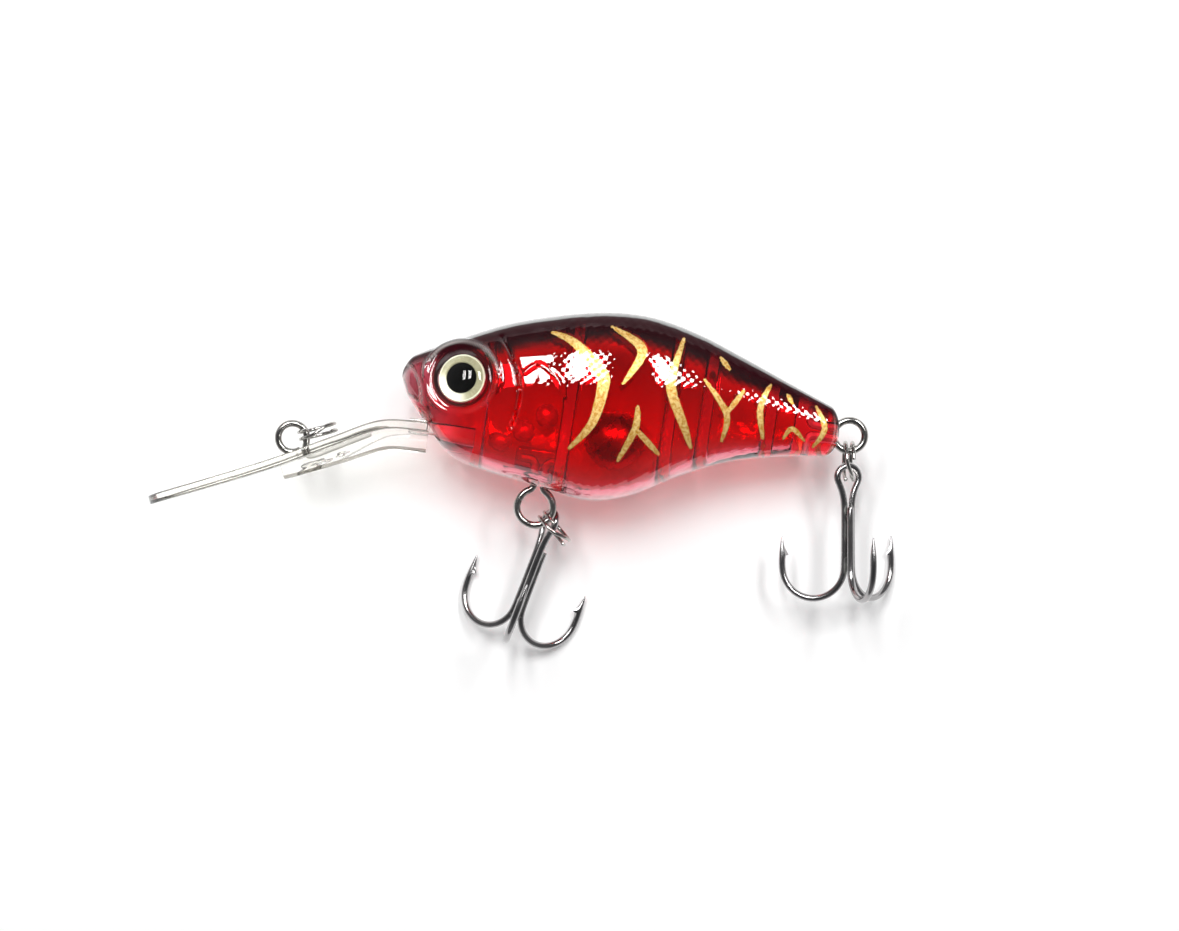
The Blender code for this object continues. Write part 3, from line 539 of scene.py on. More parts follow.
def relief(u, v):
    """Height of the moulded relief on the flanks."""
    around, sine = about_eye(u, v)
    share = BROW_LEAST + (1 - BROW_LEAST) * ease(sine, *BROW_GAINS)
    brow = BROW_HEIGHT * hump(around - BROW_RADIUS, BROW_WIDTH) * share
    socket = SOCKET_DEPTH * hump(around - SOCKET_RADIUS, SOCKET_WIDTH)
    gill_marks = np.array(GILL_LINE)
    gill, _ = line_distance(u, v, GILL_LINE)
    gill_u = np.interp(v, gill_marks[::-1, 1], gill_marks[::-1, 0])
    inside = ease(v, *GILL_PLATE_FOOT) * (1 - ease(v, *GILL_PLATE_TOP))
    plate = np.where(u < gill_u, GILL_PLATE * (1 - np.clip((gill_u - u) / GILL_PLATE_REACH, 0, 1)), 0.0)
    mouth, _ = line_distance(u, v, MOUTH_LINE)
    cheek, _ = line_distance(u, v, CHEEK_LINE)
    fine = hump(mouth, FINE_LINE_WIDTH) + hump(cheek, FINE_LINE_WIDTH)
    scaled = ease(u, SCALES_START, SCALES_START + SCALES_FADE)
    scaled *= 1 - ease(u, SCALES_END - SCALES_FADE, SCALES_END)
    return (brow - socket - GILL_DEPTH * hump(gill, GILL_WIDTH) + plate * inside
            + FINE_LINE_HEIGHT * fine + SCALE_HEIGHT * scaled * scales(u, v))


def body_stations():
    turn = np.arange(END_ROWS) / END_ROWS * pi / 2
    nose = NOSE_ROUND * (1 - np.cos(turn))
    tail = BODY_LENGTH - TAIL_ROUND * (1 - np.cos(turn))
    middle = np.linspace(NOSE_ROUND, BODY_LENGTH - TAIL_ROUND, BODY_ROWS - 2 * END_ROWS + 1)
    return np.concatenate((nose, middle, tail[::-1]))


def outside_points():
    """The left flank's outer surface with its relief and the eased edge at the seam."""
    points = body_points(body_stations(), np.linspace(-pi / 2, pi / 2, SECTION_COLUMNS + 1),
                         seam=SEAM_HALF_GAP)
    normal = np.cross(np.gradient(points, axis=0), np.gradient(points, axis=1))
    normal /= np.maximum(np.linalg.norm(normal, axis=-1, keepdims=True), 1e-15)
    w = points[..., 2]
    height = relief(points[..., 0], points[..., 1]) * ease(w, *RELIEF_GROWS)
    seam = np.clip(1 - (w - SEAM_HALF_GAP) / SEAM_EASE, 0.0, 1.0)
    ends = end_rounding(points[..., 0])
    height = (height - SEAM_EASE_DEPTH * seam ** 2) * ends
    moved = points + normal * height[..., None]
    moved[..., 2] = np.where(w <= SEAM_HALF_GAP, w, np.maximum(moved[..., 2], SEAM_HALF_GAP))
    return moved


def mirrored(points, side):
    return points * np.array((1.0, 1.0, side))


def chamber(start, end):
    """One hollow between two bulkheads, with filleted ends."""
    stations = np.linspace(start, end, max(3, round((end - start) / CHAMBER_STEP)) + 1)
    angles = -pi / 2 + 2 * pi * np.arange(CHAMBER_COLUMNS) / CHAMBER_COLUMNS
    piece = ring_solid("chamber", body_points(stations, angles, WALL))
    with editing(piece, "FACE"):
        bpy.ops.mesh.select_all(action="DESELECT")
        bpy.ops.mesh.select_face_by_sides(number=4, type="GREATER")
        bpy.ops.mesh.region_to_loop()
        bpy.ops.mesh.bevel(offset=CHAMBER_FILLET, segments=3, affect="EDGES")
    return piece


def boss():
    """The block in the first hollow that holds the belly wire's feet."""
    low, high = -2 * BELLY_DEPTH, BOSS_TOP
    bpy.ops.object.select_all(action="DESELECT")
    bpy.ops.mesh.primitive_cube_add(size=1, location=ZERO + Vector((BOSS_AFT, (low + high) / 2, 0)),
                                    scale=(2 * BOSS_HALF_LENGTH, high - low, 2 * BOSS_HALF_WIDTH))
    piece = bpy.context.object
    bpy.ops.object.transform_apply()
    apply(piece, "BEVEL", width=BOSS_FILLET, segments=3)
    return piece


def hollows():
    """All chambers as one cutter, with the belly wire's boss left standing."""
    pieces = [chamber(start, end) for start, end in CHAMBERS]
    boolean(pieces[0], boss(), "DIFFERENCE")
    return join(pieces)


def eye_place(side):
    """Frame on the flank at the eye, with Z along the flank's outward normal."""
    rise_aft = flank(EYE_AFT + SMALL_STEP, EYE_LEVEL) - flank(EYE_AFT - SMALL_STEP, EYE_LEVEL)
    rise_up = flank(EYE_AFT, EYE_LEVEL + SMALL_STEP) - flank(EYE_AFT, EYE_LEVEL - SMALL_STEP)
    outward = Vector((-rise_aft, -rise_up, 2 * SMALL_STEP)).normalized()
    centre = Vector((EYE_AFT, EYE_LEVEL, side * float(flank(EYE_AFT, EYE_LEVEL))))
    outward.z *= side
    turn = Vector((0, 0, 1)).rotation_difference(outward).to_matrix().to_4x4()
    return Matrix.Translation(centre) @ turn


def turned(name, profile, place):
    """A solid turned about the place's Z axis from (radius, height) marks, closed at its poles."""
    rings = []
    for radius, height in profile:
        rings.append([tuple(place @ Vector((radius * cos(a), radius * sin(a), height)))
                      for a in (2 * pi * k / TURNED_COLUMNS for k in range(TURNED_COLUMNS))])
    return ring_solid(name, rings)


def eye_seat(side):
    seat = EYE_RADIUS + EYE_CLEARANCE
    return turned("eye_seat", ((seat, -EYE_SEAT_DEPTH), (seat, EYE_SEAT_REACH)), eye_place(side))


def zone_finishes():
    """Stand-in finishes that tell a piece's outer faces from those that a tool leaves in it."""
    return [bpy.data.materials.new(zone) for zone in ("outer_faces", "inner_faces")]


def make_half(side_name, side, material):
    """One moulded half of the body, hollow, with its painted zones marked."""
    piece = close(add_grid(side_name + "_half", mirrored(outside_points(), side)))
    outer, inner = zone_finishes()
    piece.data.materials.append(outer)
    slot = tongue(TONGUE_SLOT_START, LIP_CLEARANCE)
    for tool in (hollows(), eye_seat(side), slot, channel("belly_hanger"), channel("tail_hanger")):
        tool.data.materials.append(inner)
        boolean(piece, tool, "DIFFERENCE")
    mark_zones(piece)
    smooth(piece, 35)
    dress(piece, "body", [side_name + "_shell"], material)


def face_zones(piece):
    """Number of each face's stand-in, its middle in lure axes and its normal; then all take the first."""
    faces = piece.data.polygons
    zone = np.empty(len(faces), np.int32)
    centre, normal = np.empty(len(faces) * 3), np.empty(len(faces) * 3)
    faces.foreach_get("material_index", zone)
    faces.foreach_get("center", centre)
    faces.foreach_get("normal", normal)
    faces.foreach_set("material_index", np.zeros(len(faces), np.int32))
    return zone, centre.reshape(-1, 3) - np.array(ZERO), normal.reshape(-1, 3)


def bar_edge(u, v):
    """How far points lie outside the nearest gold bar, in mm."""
    nearest = np.full(u.shape, np.inf)
    for marks, end_width, middle_width in BARS:
        away, along = line_distance(u / MM, v / MM, marks)
        bulge = np.sin(pi * np.clip(along, BAR_TIP_SHARE, 1 - BAR_TIP_SHARE))
        nearest = np.minimum(nearest, away - end_width - (middle_width - end_width) * bulge)
    return nearest


def mark_zones(piece):
    """Store what the paint follows: height on the body, the bars, the relief with its painted highlight and
    painted shade, and the kind of face.
    """
    u, v, _ = (points_of(piece) - np.array(ZERO)).T
    widest, above, below, _ = section(u)
    height = np.clip((above + below) / FULL_PAINT_HEIGHT, LEAST_PAINT_SHARE, 1.0)
    store(piece, "below_back", (widest + above - v) / MM / height)
    store(piece, "from_bare", np.minimum((v - widest + below) / height, NOSE_PAINT_RISE * u) / MM)
    store(piece, "bar_edge", bar_edge(u, v))
    around, sine = about_eye(u, v)
    # Painted highlight: the brow's crest is lighter on its upper side, and the mouth line's crest partly so,
    # as if lit
    brow = hump(around - BROW_RADIUS, CREST_WIDTH) * ease((v - EYE_LEVEL) / BROW_RADIUS, *CREST_GROWS)
    mouth, _ = line_distance(u, v, MOUTH_LINE)
    store(piece, "pale_crest", np.maximum(brow, MOUTH_CREST * hump(mouth, CREST_WIDTH)))
    # Painted shade: the upper part of the eye's socket, a recess, is darkened in the paint as if shaded
    in_socket = 1 - ease(around, SOCKET_RADIUS, BROW_RADIUS)
    store(piece, "socket_shade", ease(sine, *SHADE_GROWS) * in_socket)
    zone, centre, normal = face_zones(piece)
    seam = (np.abs(normal[:, 2]) > SQUARE_FACE) & (np.abs(centre[:, 2]) < 2 * SEAM_HALF_GAP)
    store(piece, "seam_face", seam, "FACE")
    store(piece, "outer_face", (zone == 0) & ~seam, "FACE")


# Eyes, lip, wires, hooks and balls

def make_eye_disc(side_name, place, foil):
    """The printed disc at the foot of the eye's seat, with its pupil set a little lower."""
    foot, top, rim = EYE_DISC_FOOT, EYE_DISC_TOP, EYE_DISC_RIM
    profile = ((0.0, foot), (EYE_RADIUS - rim, foot), (EYE_RADIUS, foot + rim), (EYE_RADIUS, top - rim),
               (EYE_RADIUS - rim, top), (PUPIL_RADIUS + rim, top), (PUPIL_RADIUS, top - rim),
               (0.0, top - rim))
    piece = turned(side_name + "_eye_disc_print", profile, place)
    x, y, _ = np.array([place.inverted() @ (Vector(p) - ZERO) for p in points_of(piece)]).T
    turn = np.arctan2(y, x)
    store(piece, "from_middle", np.hypot(x, y) / EYE_RADIUS)
    store(piece, "turn", turn)
    # Painted light: a pale patch on the lower left of the iris, standing in for light that the dome focuses
    # there
    store(piece, "pale_side", ease(np.cos(turn - EYE_CAUSTIC_TURN), *EYE_CAUSTIC_SPREAD))
    smooth(piece)
    dress(piece, "body", [side_name + "_eye_disc"], foil)


def make_eye_lens(side_name, place, resin):
    """The clear cap over the disc, part of a ball, with its flat face glued down."""
    base = EYE_DISC_TOP + EYE_CLEARANCE
    ball = (EYE_RADIUS ** 2 + EYE_DOME_HEIGHT ** 2) / (2 * EYE_DOME_HEIGHT)
    spread = asin(EYE_RADIUS / ball)
    profile = [(0.0, base)]
    for k in range(EYE_DOME_ROWS + 1):
        a = spread * (1 - k / EYE_DOME_ROWS)
        profile.append((ball * sin(a), base + EYE_DOME_HEIGHT - ball * (1 - cos(a))))
    piece = turned(side_name + "_eye_lens", profile, place)
    inward = place.to_3x3() @ Vector((0, 0, -1))
    glued = [face.normal.dot(inward) > SQUARE_FACE for face in piece.data.polygons]
    store(piece, "glued_face", np.array(glued), "FACE")
    smooth(piece, 60)
    dress(piece, "body", [side_name + "_eye_dome"], resin)


def lip_level(u):
    return smooth_value(LIP_LINE, 1, np.asarray(u, float))


def lip_normal(u):
    fall = float(lip_level(u - SMALL_STEP) - lip_level(u + SMALL_STEP))
    return Vector((fall, 2 * SMALL_STEP, 0)).normalized()


def lip_half_width(u):
    if u < LIP_TIP + LIP_TIP_ROUND:
        return LIP_HALF_WIDTH * sqrt(max(0.0, 1 - ((LIP_TIP + LIP_TIP_ROUND - u) / LIP_TIP_ROUND) ** 2))
    if u < LIP_WAIST_START:
        return LIP_HALF_WIDTH
    t = min(1.0, (u - LIP_WAIST_START) / (LIP_ROOT - LIP_WAIST_START))
    return LIP_HALF_WIDTH + (LIP_ROOT_HALF_WIDTH - LIP_HALF_WIDTH) * t * t * (3 - 2 * t)


def lip_blade():
    """The blade: its plan outline, cut into rows, bent to its middle line and given its thickness."""
    turn = [LIP_TIP + LIP_TIP_ROUND * (1 - cos(pi / 2 * k / LIP_TIP_STEPS)) for k in range(LIP_TIP_STEPS)]
    straight = list(np.linspace(LIP_TIP + LIP_TIP_ROUND, LIP_END, LIP_SIDE_STEPS))
    upper = [(u, lip_half_width(u)) for u in turn[1:] + straight]
    outline = [(LIP_TIP, 0.0)] + upper + [(u, -w) for u, w in reversed(upper)]
    bpy.ops.object.select_all(action="DESELECT")
    bpy.ops.mesh.primitive_circle_add(vertices=len(outline), radius=1, fill_type="NGON")
    blade = bpy.context.object
    blade.name = blade.data.name = "diving_lip_blade"
    move_points(blade, [(u, 0.0, w) for u, w in outline])
    with editing(blade):
        for u in np.linspace(LIP_TIP, LIP_END, LIP_ROWS + 1)[1:-1]:
            bpy.ops.mesh.select_all(action="SELECT")
            bpy.ops.mesh.bisect(plane_co=(u, 0, 0), plane_no=(1, 0, 0))
    flat = points_of(blade)
    flat[:, 1] = lip_level(flat[:, 0])
    move_points(blade, flat + np.array(ZERO))
    with editing(blade):
        bpy.ops.mesh.normals_make_consistent(inside=False)
    apply(blade, "SOLIDIFY", thickness=LIP_THICKNESS, offset=0.0, use_even_offset=True)
    apply(blade, "BEVEL", width=LIP_EDGE_ROUND, segments=3, limit_method="ANGLE", angle_limit=radians(60))
    return blade


def rounded_ring(half_width, low, high, corner):
    """A rectangle with round corners, as (w, rise) points."""
    side, top, foot = half_width - corner, high - corner, low + corner
    ring = []
    for quarter, (w, rise) in enumerate(((side, top), (-side, top), (-side, foot), (side, foot))):
        for k in range(CORNER_STEPS + 1):
            a = quarter * pi / 2 + pi / 2 * k / CORNER_STEPS
            ring.append((w + corner * cos(a), rise + corner * sin(a)))
    return ring


def along_lip(name, stations, ring_at):
    """A solid along the lip's middle line, with ring_at(u) giving its (w, rise) section."""
    rings = []
    for u in stations:
        middle, up = Vector((u, float(lip_level(u)), 0)), lip_normal(u)
        rings.append([tuple(middle + up * rise + Vector((0, 0, w))) for w, rise in ring_at(u)])
    return ring_solid(name, rings)


def rib_ring(u):
    """Section of the rib under the blade, deeper towards the head and narrower at its foot."""
    t = min(1.0, max(0.0, (u - RIB_FRONT) / (LIP_ROOT - RIB_FRONT)))
    depth = RIB_DEPTH * (RIB_FRONT_SHARE + (1 - RIB_FRONT_SHARE) * sin(pi / 2 * t))
    ring = rounded_ring(RIB_HALF_WIDTH, -depth, RIB_RISE, RIB_CORNER)
    return [(w * (1 + (RIB_FOOT_HALF_WIDTH / RIB_HALF_WIDTH - 1) * max(0.0, -rise / depth)), rise)
            for w, rise in ring]


def tongue(start, clearance=0.0):
    """The lip's tongue in the head, or with a clearance the slot for it."""
    half = TONGUE_THICKNESS / 2 + clearance
    ring = rounded_ring(TONGUE_HALF_WIDTH + clearance, -half, half, TONGUE_CORNER)
    return along_lip("tongue", np.linspace(start, TONGUE_END + clearance, TONGUE_ROWS), lambda u: ring)


def whole_body(grow):
    """Both halves as one plain solid, a little larger all round."""
    angles = -pi / 2 + 2 * pi * np.arange(WHOLE_COLUMNS) / WHOLE_COLUMNS
    stations = body_stations()[1:-1]
    return ring_solid("whole_body", body_points(stations, angles, -grow))


def bubble(aft, drop, half_length, half_depth, half_width):
    """An uneven pocket of air left in the rib round the wire's foot."""
    slope = lip_normal(aft)
    middle = ZERO + Vector((aft, float(lip_level(aft)), 0)) - slope * drop
    along = Vector((slope.y, -slope.x, 0))
    bpy.ops.object.select_all(action="DESELECT")
    bpy.ops.mesh.primitive_ico_sphere_add(subdivisions=4, radius=1)
    piece = bpy.context.object
    ball = points_of(piece)
    x, y, z = ball.T
    coarse = np.sin(3.1 * x + 4.3 * y)
    fine = np.sin(7.3 * x - 2.2 * z) * np.cos(5.1 * y)
    uneven = 1 + COARSE_SWELL * coarse + FINE_SWELL * fine
    axes = np.array((along * half_length, slope * half_depth, Vector((0, 0, half_width))))
    move_points(piece, (ball * uneven[:, None]) @ axes + np.array(middle))
    return piece


def make_lip(material):
    """Blade, rib and tongue in one, with room for the head, the line tie's wire and the air pockets."""
    outer, inner = zone_finishes()
    lip = lip_blade()
    lip.data.materials.append(outer)
    rib = along_lip("rib", np.linspace(RIB_FRONT, LIP_ROOT + RIB_OVERLAP, RIB_ROWS), rib_ring)
    steps = [(rib, outer, "UNION"), (whole_body(LIP_CLEARANCE), inner, "DIFFERENCE"),
             (tongue(TONGUE_START), inner, "UNION"), (channel("line_tie_wire"), inner, "DIFFERENCE")]
    steps += [(bubble(*spot), inner, "DIFFERENCE") for spot in BUBBLES]
    for tool, zone, operation in steps:
        tool.data.materials.append(zone)
        boolean(lip, tool, operation)
    mark_edges(lip)
    smooth(lip)
    dress(lip, "body", ["diving_lip"], material)


def mark_edges(piece):
    """Mark the lip's rounded edges, which are painted dark as shade standing in for the dark lines that
    refraction draws in clear plastic, and the faces inside it.
    """
    zone, centre, normal = face_zones(piece)
    u = centre[:, 0]
    slope = (lip_level(u + SMALL_STEP) - lip_level(u - SMALL_STEP)) / (2 * SMALL_STEP)
    rise = np.abs(normal[:, 1] - slope * normal[:, 0]) / np.sqrt(1 + slope ** 2)
    least, most = LIP_EDGE_SLANT
    store(piece, "edge_face", (rise > least) & (rise < most) & (zone == 0), "FACE")
    store(piece, "inner_face", (zone > 0) & (u < 0), "FACE")


def make_wires(steel):
    """The wires that are set in the plastic, and the split rings on them."""
    wires = {"line_tie_wire": "line_tie_loop", "belly_hanger": "belly_hanger_wire",
             "tail_hanger": "tail_hanger_wire"}
    for node, name in wires.items():
        piece = finer_copy(node, name, WIRE_RADIUS)
        mark_bedded(piece)
        dress(piece, "body", [node], steel)
    rings = {"line_tie_ring": "line_ring", "belly_split_ring": "belly_ring", "tail_split_ring": "tail_ring"}
    for node, body in rings.items():
        dress(finer_copy(node, node + "_wire", RING_WIRE_RADIUS), body, [node], steel)


def make_hooks(nickel):
    """Two trebles, each a double hook of one wire with a third prong brazed to it."""
    for place in ("belly", "tail"):
        nodes = [f"{place}_hook_{part}" for part in ("double", "single")]
        pieces = [finer_copy(node, node + "_wire", HOOK_WIRE_RADIUS, HOOK_CREASE_ANGLE) for node in nodes]
        for node, piece, other in zip(nodes, pieces, reversed(pieces)):
            mark_braze(piece, other)
            dress(piece, f"{place}_hook", [node], nickel)


def mark_bedded(piece):
    """Mark the stretches of a wire that are set in the plastic, where glue dulls them."""
    u, v, _ = (points_of(piece) - np.array(ZERO)).T
    widest, above, below, _ = section(u)
    in_body = (u > 0) & (u < BODY_LENGTH) & (v > widest - below) & (v < widest + above)
    in_lip = (u < 0) & (v < lip_level(np.minimum(u, 0.0)))
    store(piece, "bedded", in_body | in_lip)


def mark_braze(piece, other):
    """Mark where a hook's wire runs along the wire that it is brazed to."""
    tree = KDTree(len(other.data.vertices))
    for vertex in other.data.vertices:
        tree.insert(vertex.co, vertex.index)
    tree.balance()
    away = np.array([tree.find(vertex.co)[2] for vertex in piece.data.vertices])
    store(piece, "braze", 1 - ease(away, BRAZE_REACH / 3, BRAZE_REACH))


def make_balls(plain, plated):
    """The loose balls: plain steel ballast and brighter plated shot."""
    bodies = {"ballast_ball": "ballast", "rattle_ball_1": "rattle_1", "rattle_ball_2": "rattle_2",
              "rattle_ball_3": "rattle_3"}
    for node, body in bodies.items():
        low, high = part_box(node)
        radius = (high.z - low.z) / 2
        bpy.ops.object.select_all(action="DESELECT")
        bpy.ops.mesh.primitive_ico_sphere_add(subdivisions=5, radius=radius, location=(low + high) / 2)
        piece = bpy.context.object
        piece.name = piece.data.name = node + "_shot"
        bpy.ops.object.transform_apply()
        smooth(piece, 60)
        dress(piece, body, [node], plain if body == "ballast" else plated)


# Materials

class Value:
    """One output of a material's nodes; arithmetic on it adds Math nodes."""

    def __init__(self, finish, socket):
        self.finish, self.socket = finish, socket

    def math(self, operation, *others):
        sockets = dict(enumerate((self,) + others))
        return self.finish.add("ShaderNodeMath", {"operation": operation}, sockets)

    def __add__(self, other):
        return self.math("ADD", other)

    def __sub__(self, other):
        return self.math("SUBTRACT", other)

    def __rsub__(self, other):
        return self.finish.add("ShaderNodeMath", {"operation": "SUBTRACT"}, {0: other, 1: self})

    def __mul__(self, other):
        return self.math("MULTIPLY", other)

    def __truediv__(self, other):
        return self.math("DIVIDE", other)

    def ease(self, low, high):
        """0 below low and 1 above high, smooth between them."""
        settings = {"interpolation_type": "SMOOTHSTEP"}
        return self.finish.add("ShaderNodeMapRange", settings, {0: self, 1: low, 2: high, 3: 0.0, 4: 1.0})


class Finish:
    """A material or world being made from nodes."""

    def __init__(self, owner):
        owner.use_nodes = True
        self.owner, self.tree = owner, owner.node_tree
        self.tree.nodes.clear()

    def add(self, kind, settings=None, sockets=None, out=0):
        node = self.tree.nodes.new(kind)
        for name, value in (settings or {}).items():
            if name == "stops":
                self.set_stops(node, value)
            else:
                setattr(node, name, value)
        for key, value in (sockets or {}).items():
            if isinstance(value, Value):
                self.tree.links.new(value.socket, node.inputs[key])
            else:
                node.inputs[key].default_value = value
        return Value(self, node.outputs[out]) if node.outputs else node

    def set_stops(self, node, stops):
        ramp = node.color_ramp.elements
        while len(ramp) < len(stops):
            ramp.new(1.0)
        for element, (place, colour) in zip(ramp, stops):
            element.position, element.color = place, colour

    def attribute(self, name):
        return self.add("ShaderNodeAttribute", {"attribute_name": name}, out="Fac")

    def noise(self, per_metre, detail=3.0, rough=0.55):
        where = self.add("ShaderNodeTexCoord", out="Object")
        sockets = {"Vector": where, "Scale": per_metre, "Detail": detail, "Roughness": rough}
        return self.add("ShaderNodeTexNoise", {}, sockets)

    def blend(self, share, first, second):
        """A colour between two."""
        settings = {"data_type": "RGBA"}
        return self.add("ShaderNodeMix", settings, {0: share, 6: first, 7: second}, out=2)

    def bump(self, height, strength, distance):
        sockets = {"Height": height, "Strength": strength, "Distance": distance}
        return self.add("ShaderNodeBump", {}, sockets)

    def principled(self, **sockets):
        return self.add("ShaderNodeBsdfPrincipled", {},
                        {name.replace("_", " "): value for name, value in sockets.items()})

    def lacquered(self, **sockets):
        """Paint under a coat of clear lacquer."""
        return self.principled(Coat_Weight=1.0, Coat_Roughness=0.03, **sockets)

    def open_way(self, tint=(1, 1, 1, 1)):
        """A face that light passes straight through."""
        return self.add("ShaderNodeBsdfTransparent", {}, {"Color": tint})

    def absorption(self, colour, density):
        return self.add("ShaderNodeVolumeAbsorption", {}, {"Color": colour, "Density": density})

    def ray(self, kind):
        return self.add("ShaderNodeLightPath", out=f"Is {kind} Ray")

    def mix(self, share, first, second):
        return self.add("ShaderNodeMixShader", {}, {0: share, 1: first, 2: second})

    def clear_for_lamps(self, shader, tint):
        """The shader, but letting lamps shine through it with a tint."""
        return self.mix(self.ray("Shadow"), shader, self.open_way(tint))

    def output(self, surface, volume=None):
        sockets = {"Surface": surface}
        if volume:
            sockets["Volume"] = volume
        self.add("ShaderNodeOutputMaterial", {}, sockets)
        return self.owner


def finish(name):
    return Finish(bpy.data.materials.new(name))


def clear_red_body():
    """Clear plastic sprayed candy red, with a bare belly edge, a black back and gold bars, under lacquer;
    painted shade darkens the top of each eye's socket and a painted highlight lightens the crests of the
    brow and mouth line.
    """
    m = finish("clear_red_body")
    below, bare, edge = m.attribute("below_back"), m.attribute("from_bare"), m.attribute("bar_edge")
    outer, seam, shade = m.attribute("outer_face"), m.attribute("seam_face"), m.attribute("socket_shade")
    cloud, crackle = m.noise(420), m.noise(2600, 4.0, 0.65)
    drift = (cloud - 0.5) * 1.4
    stops = [(0.0, (0.82, 0.32, 0.38, 1)), (0.35, (0.80, 0.11, 0.17, 1)), (1.0, (0.90, 0.004, 0.010, 1))]
    candy = m.add("ShaderNodeValToRGB", {"stops": stops}, {0: (bare + drift * 0.6) / 3.3})
    ripple = m.bump(m.noise(700, 2.0), 0.05, 0.2 * MM)
    glass = m.principled(Base_Color=m.blend(outer, (0.98, 0.96, 0.96, 1), candy),
                         Roughness=(1 - outer) * 0.28 + 0.02, IOR=1.5, Transmission_Weight=1.0,
                         Coat_Weight=outer, Coat_Roughness=0.02, Normal=ripple)
    plastic = m.clear_for_lamps(glass, (0.70, 0.55, 0.54, 1))
    smoke = m.principled(Base_Color=m.blend(cloud, (0.016, 0.001, 0.003, 1), (0.034, 0.003, 0.006, 1)),
                         Roughness=0.3, Specular_IOR_Level=0.04)
    black = m.lacquered(Base_Color=m.blend(cloud, (0.022, 0.024, 0.022, 1), (0.048, 0.050, 0.047, 1)),
                        Roughness=0.3, Coat_IOR=1.8)
    gold_colour = m.blend(crackle.ease(0.35, 0.62), (0.72, 0.33, 0.030, 1), (1.0, 0.72, 0.26, 1))
    gold = m.lacquered(Base_Color=gold_colour, Metallic=0.5, Roughness=crackle * 0.25 + 0.26,
                       Normal=m.bump(crackle, 0.4, 0.06 * MM))
    painted_highlight = m.lacquered(Base_Color=(0.62, 0.55, 0.53, 1), Roughness=0.35)
    # Smoke paint down from the back, joined with painted shade at the top of each eye's socket
    smoke_and_painted_shade = ((1 - (below + drift).ease(1.2, 4.2)) * 0.97).math("MAXIMUM", shade * 0.5)
    strip = 1 - (below + drift * 0.25).ease(0.55, 0.75)
    bars = 1 - (edge + (crackle - 0.5) * 0.45).ease(-0.06, 0.06)
    painted = m.mix(smoke_and_painted_shade * outer, plastic, smoke)
    painted = m.mix(strip * outer, painted, black)
    painted = m.mix(bars * outer, painted, gold)
    # Painted highlight on the crests of the brow and mouth line
    painted = m.mix(m.attribute("pale_crest") * outer * 0.6, painted, painted_highlight)
    return m.output(m.mix(seam, painted, m.open_way()), m.absorption((0.6, 0.3, 0.35, 1), 40.0))


def clear_lip():
    """Clear plastic with painted shade at its rounded edges, standing in for the dark lines that refraction
    draws there, and dull where wire and glue lie in it.
    """
    m = finish("clear_lip")
    haze = m.noise(350, 3.0)
    # Painted shade: the rounded edges are tinted dark as refraction would make them look
    tint = m.blend(m.attribute("edge_face"), (0.975, 0.965, 0.94, 1), (0.20, 0.19, 0.165, 1))
    rough = haze * 0.04 + 0.01 + m.attribute("inner_face") * 0.2
    glass = m.principled(Base_Color=tint, Roughness=rough, IOR=1.58, Transmission_Weight=1.0,
                         Normal=m.bump(haze, 0.04, 0.2 * MM))
    clear = m.clear_for_lamps(glass, (0.84, 0.84, 0.83, 1))
    return m.output(clear, m.absorption((0.72, 0.70, 0.64, 1), 20.0))


def wire_steel():
    m = finish("wire_steel")
    grain, spots = m.noise(5200, 2.0), m.noise(900, 4.0)
    bright = m.blend(spots, (0.36, 0.35, 0.335, 1), (0.54, 0.525, 0.50, 1))
    bedded = m.attribute("bedded")
    colour = m.blend(bedded, bright, (0.78, 0.77, 0.74, 1))
    steel = m.principled(Base_Color=colour, Metallic=1 - bedded, Roughness=spots * 0.14 + 0.1 + bedded * 0.4,
                         Normal=m.bump(grain, 0.08, 0.03 * MM))
    return m.output(steel)


def black_nickel():
    m = finish("black_nickel")
    grain, spots = m.noise(4200, 2.0), m.noise(700, 4.0)
    plated = m.blend(spots, (0.30, 0.29, 0.295, 1), (0.44, 0.43, 0.43, 1))
    braze = m.attribute("braze")
    colour = m.blend(braze, plated, (0.36, 0.37, 0.35, 1))
    nickel = m.principled(Base_Color=colour, Metallic=1.0, Roughness=spots * 0.12 + 0.12 + braze * 0.3,
                          Normal=m.bump(grain, 0.08, 0.03 * MM))
    return m.output(nickel)


def eye_foil():
    m = finish("eye_foil")
    radius, turn = m.attribute("from_middle"), m.attribute("turn")
    streak = m.add("ShaderNodeTexNoise", {"noise_dimensions": "2D"}, {
        "Vector": m.add("ShaderNodeCombineXYZ", {}, {0: turn * 6.0, 1: radius * 1.5}), "Scale": 2.0})
    iris = m.blend(streak, (0.26, 0.25, 0.15, 1), (0.42, 0.40, 0.27, 1))
    # Painted light: the iris turns pale where the dome would focus the window's light
    iris_with_painted_caustic = m.blend(m.attribute("pale_side"), iris, (0.78, 0.77, 0.64, 1))
    rim = m.blend(radius.ease(0.90, 0.95), iris_with_painted_caustic, (0.80, 0.79, 0.62, 1))
    pupil = 1 - radius.ease(PUPIL_RADIUS / EYE_RADIUS - 0.01, PUPIL_RADIUS / EYE_RADIUS + 0.01)
    colour = m.blend(pupil, rim, (0.004, 0.004, 0.004, 1))
    foil = m.principled(Base_Color=colour, Metallic=(1 - pupil) * 0.3, Roughness=0.4, Specular_IOR_Level=0.0)
    return m.output(foil)


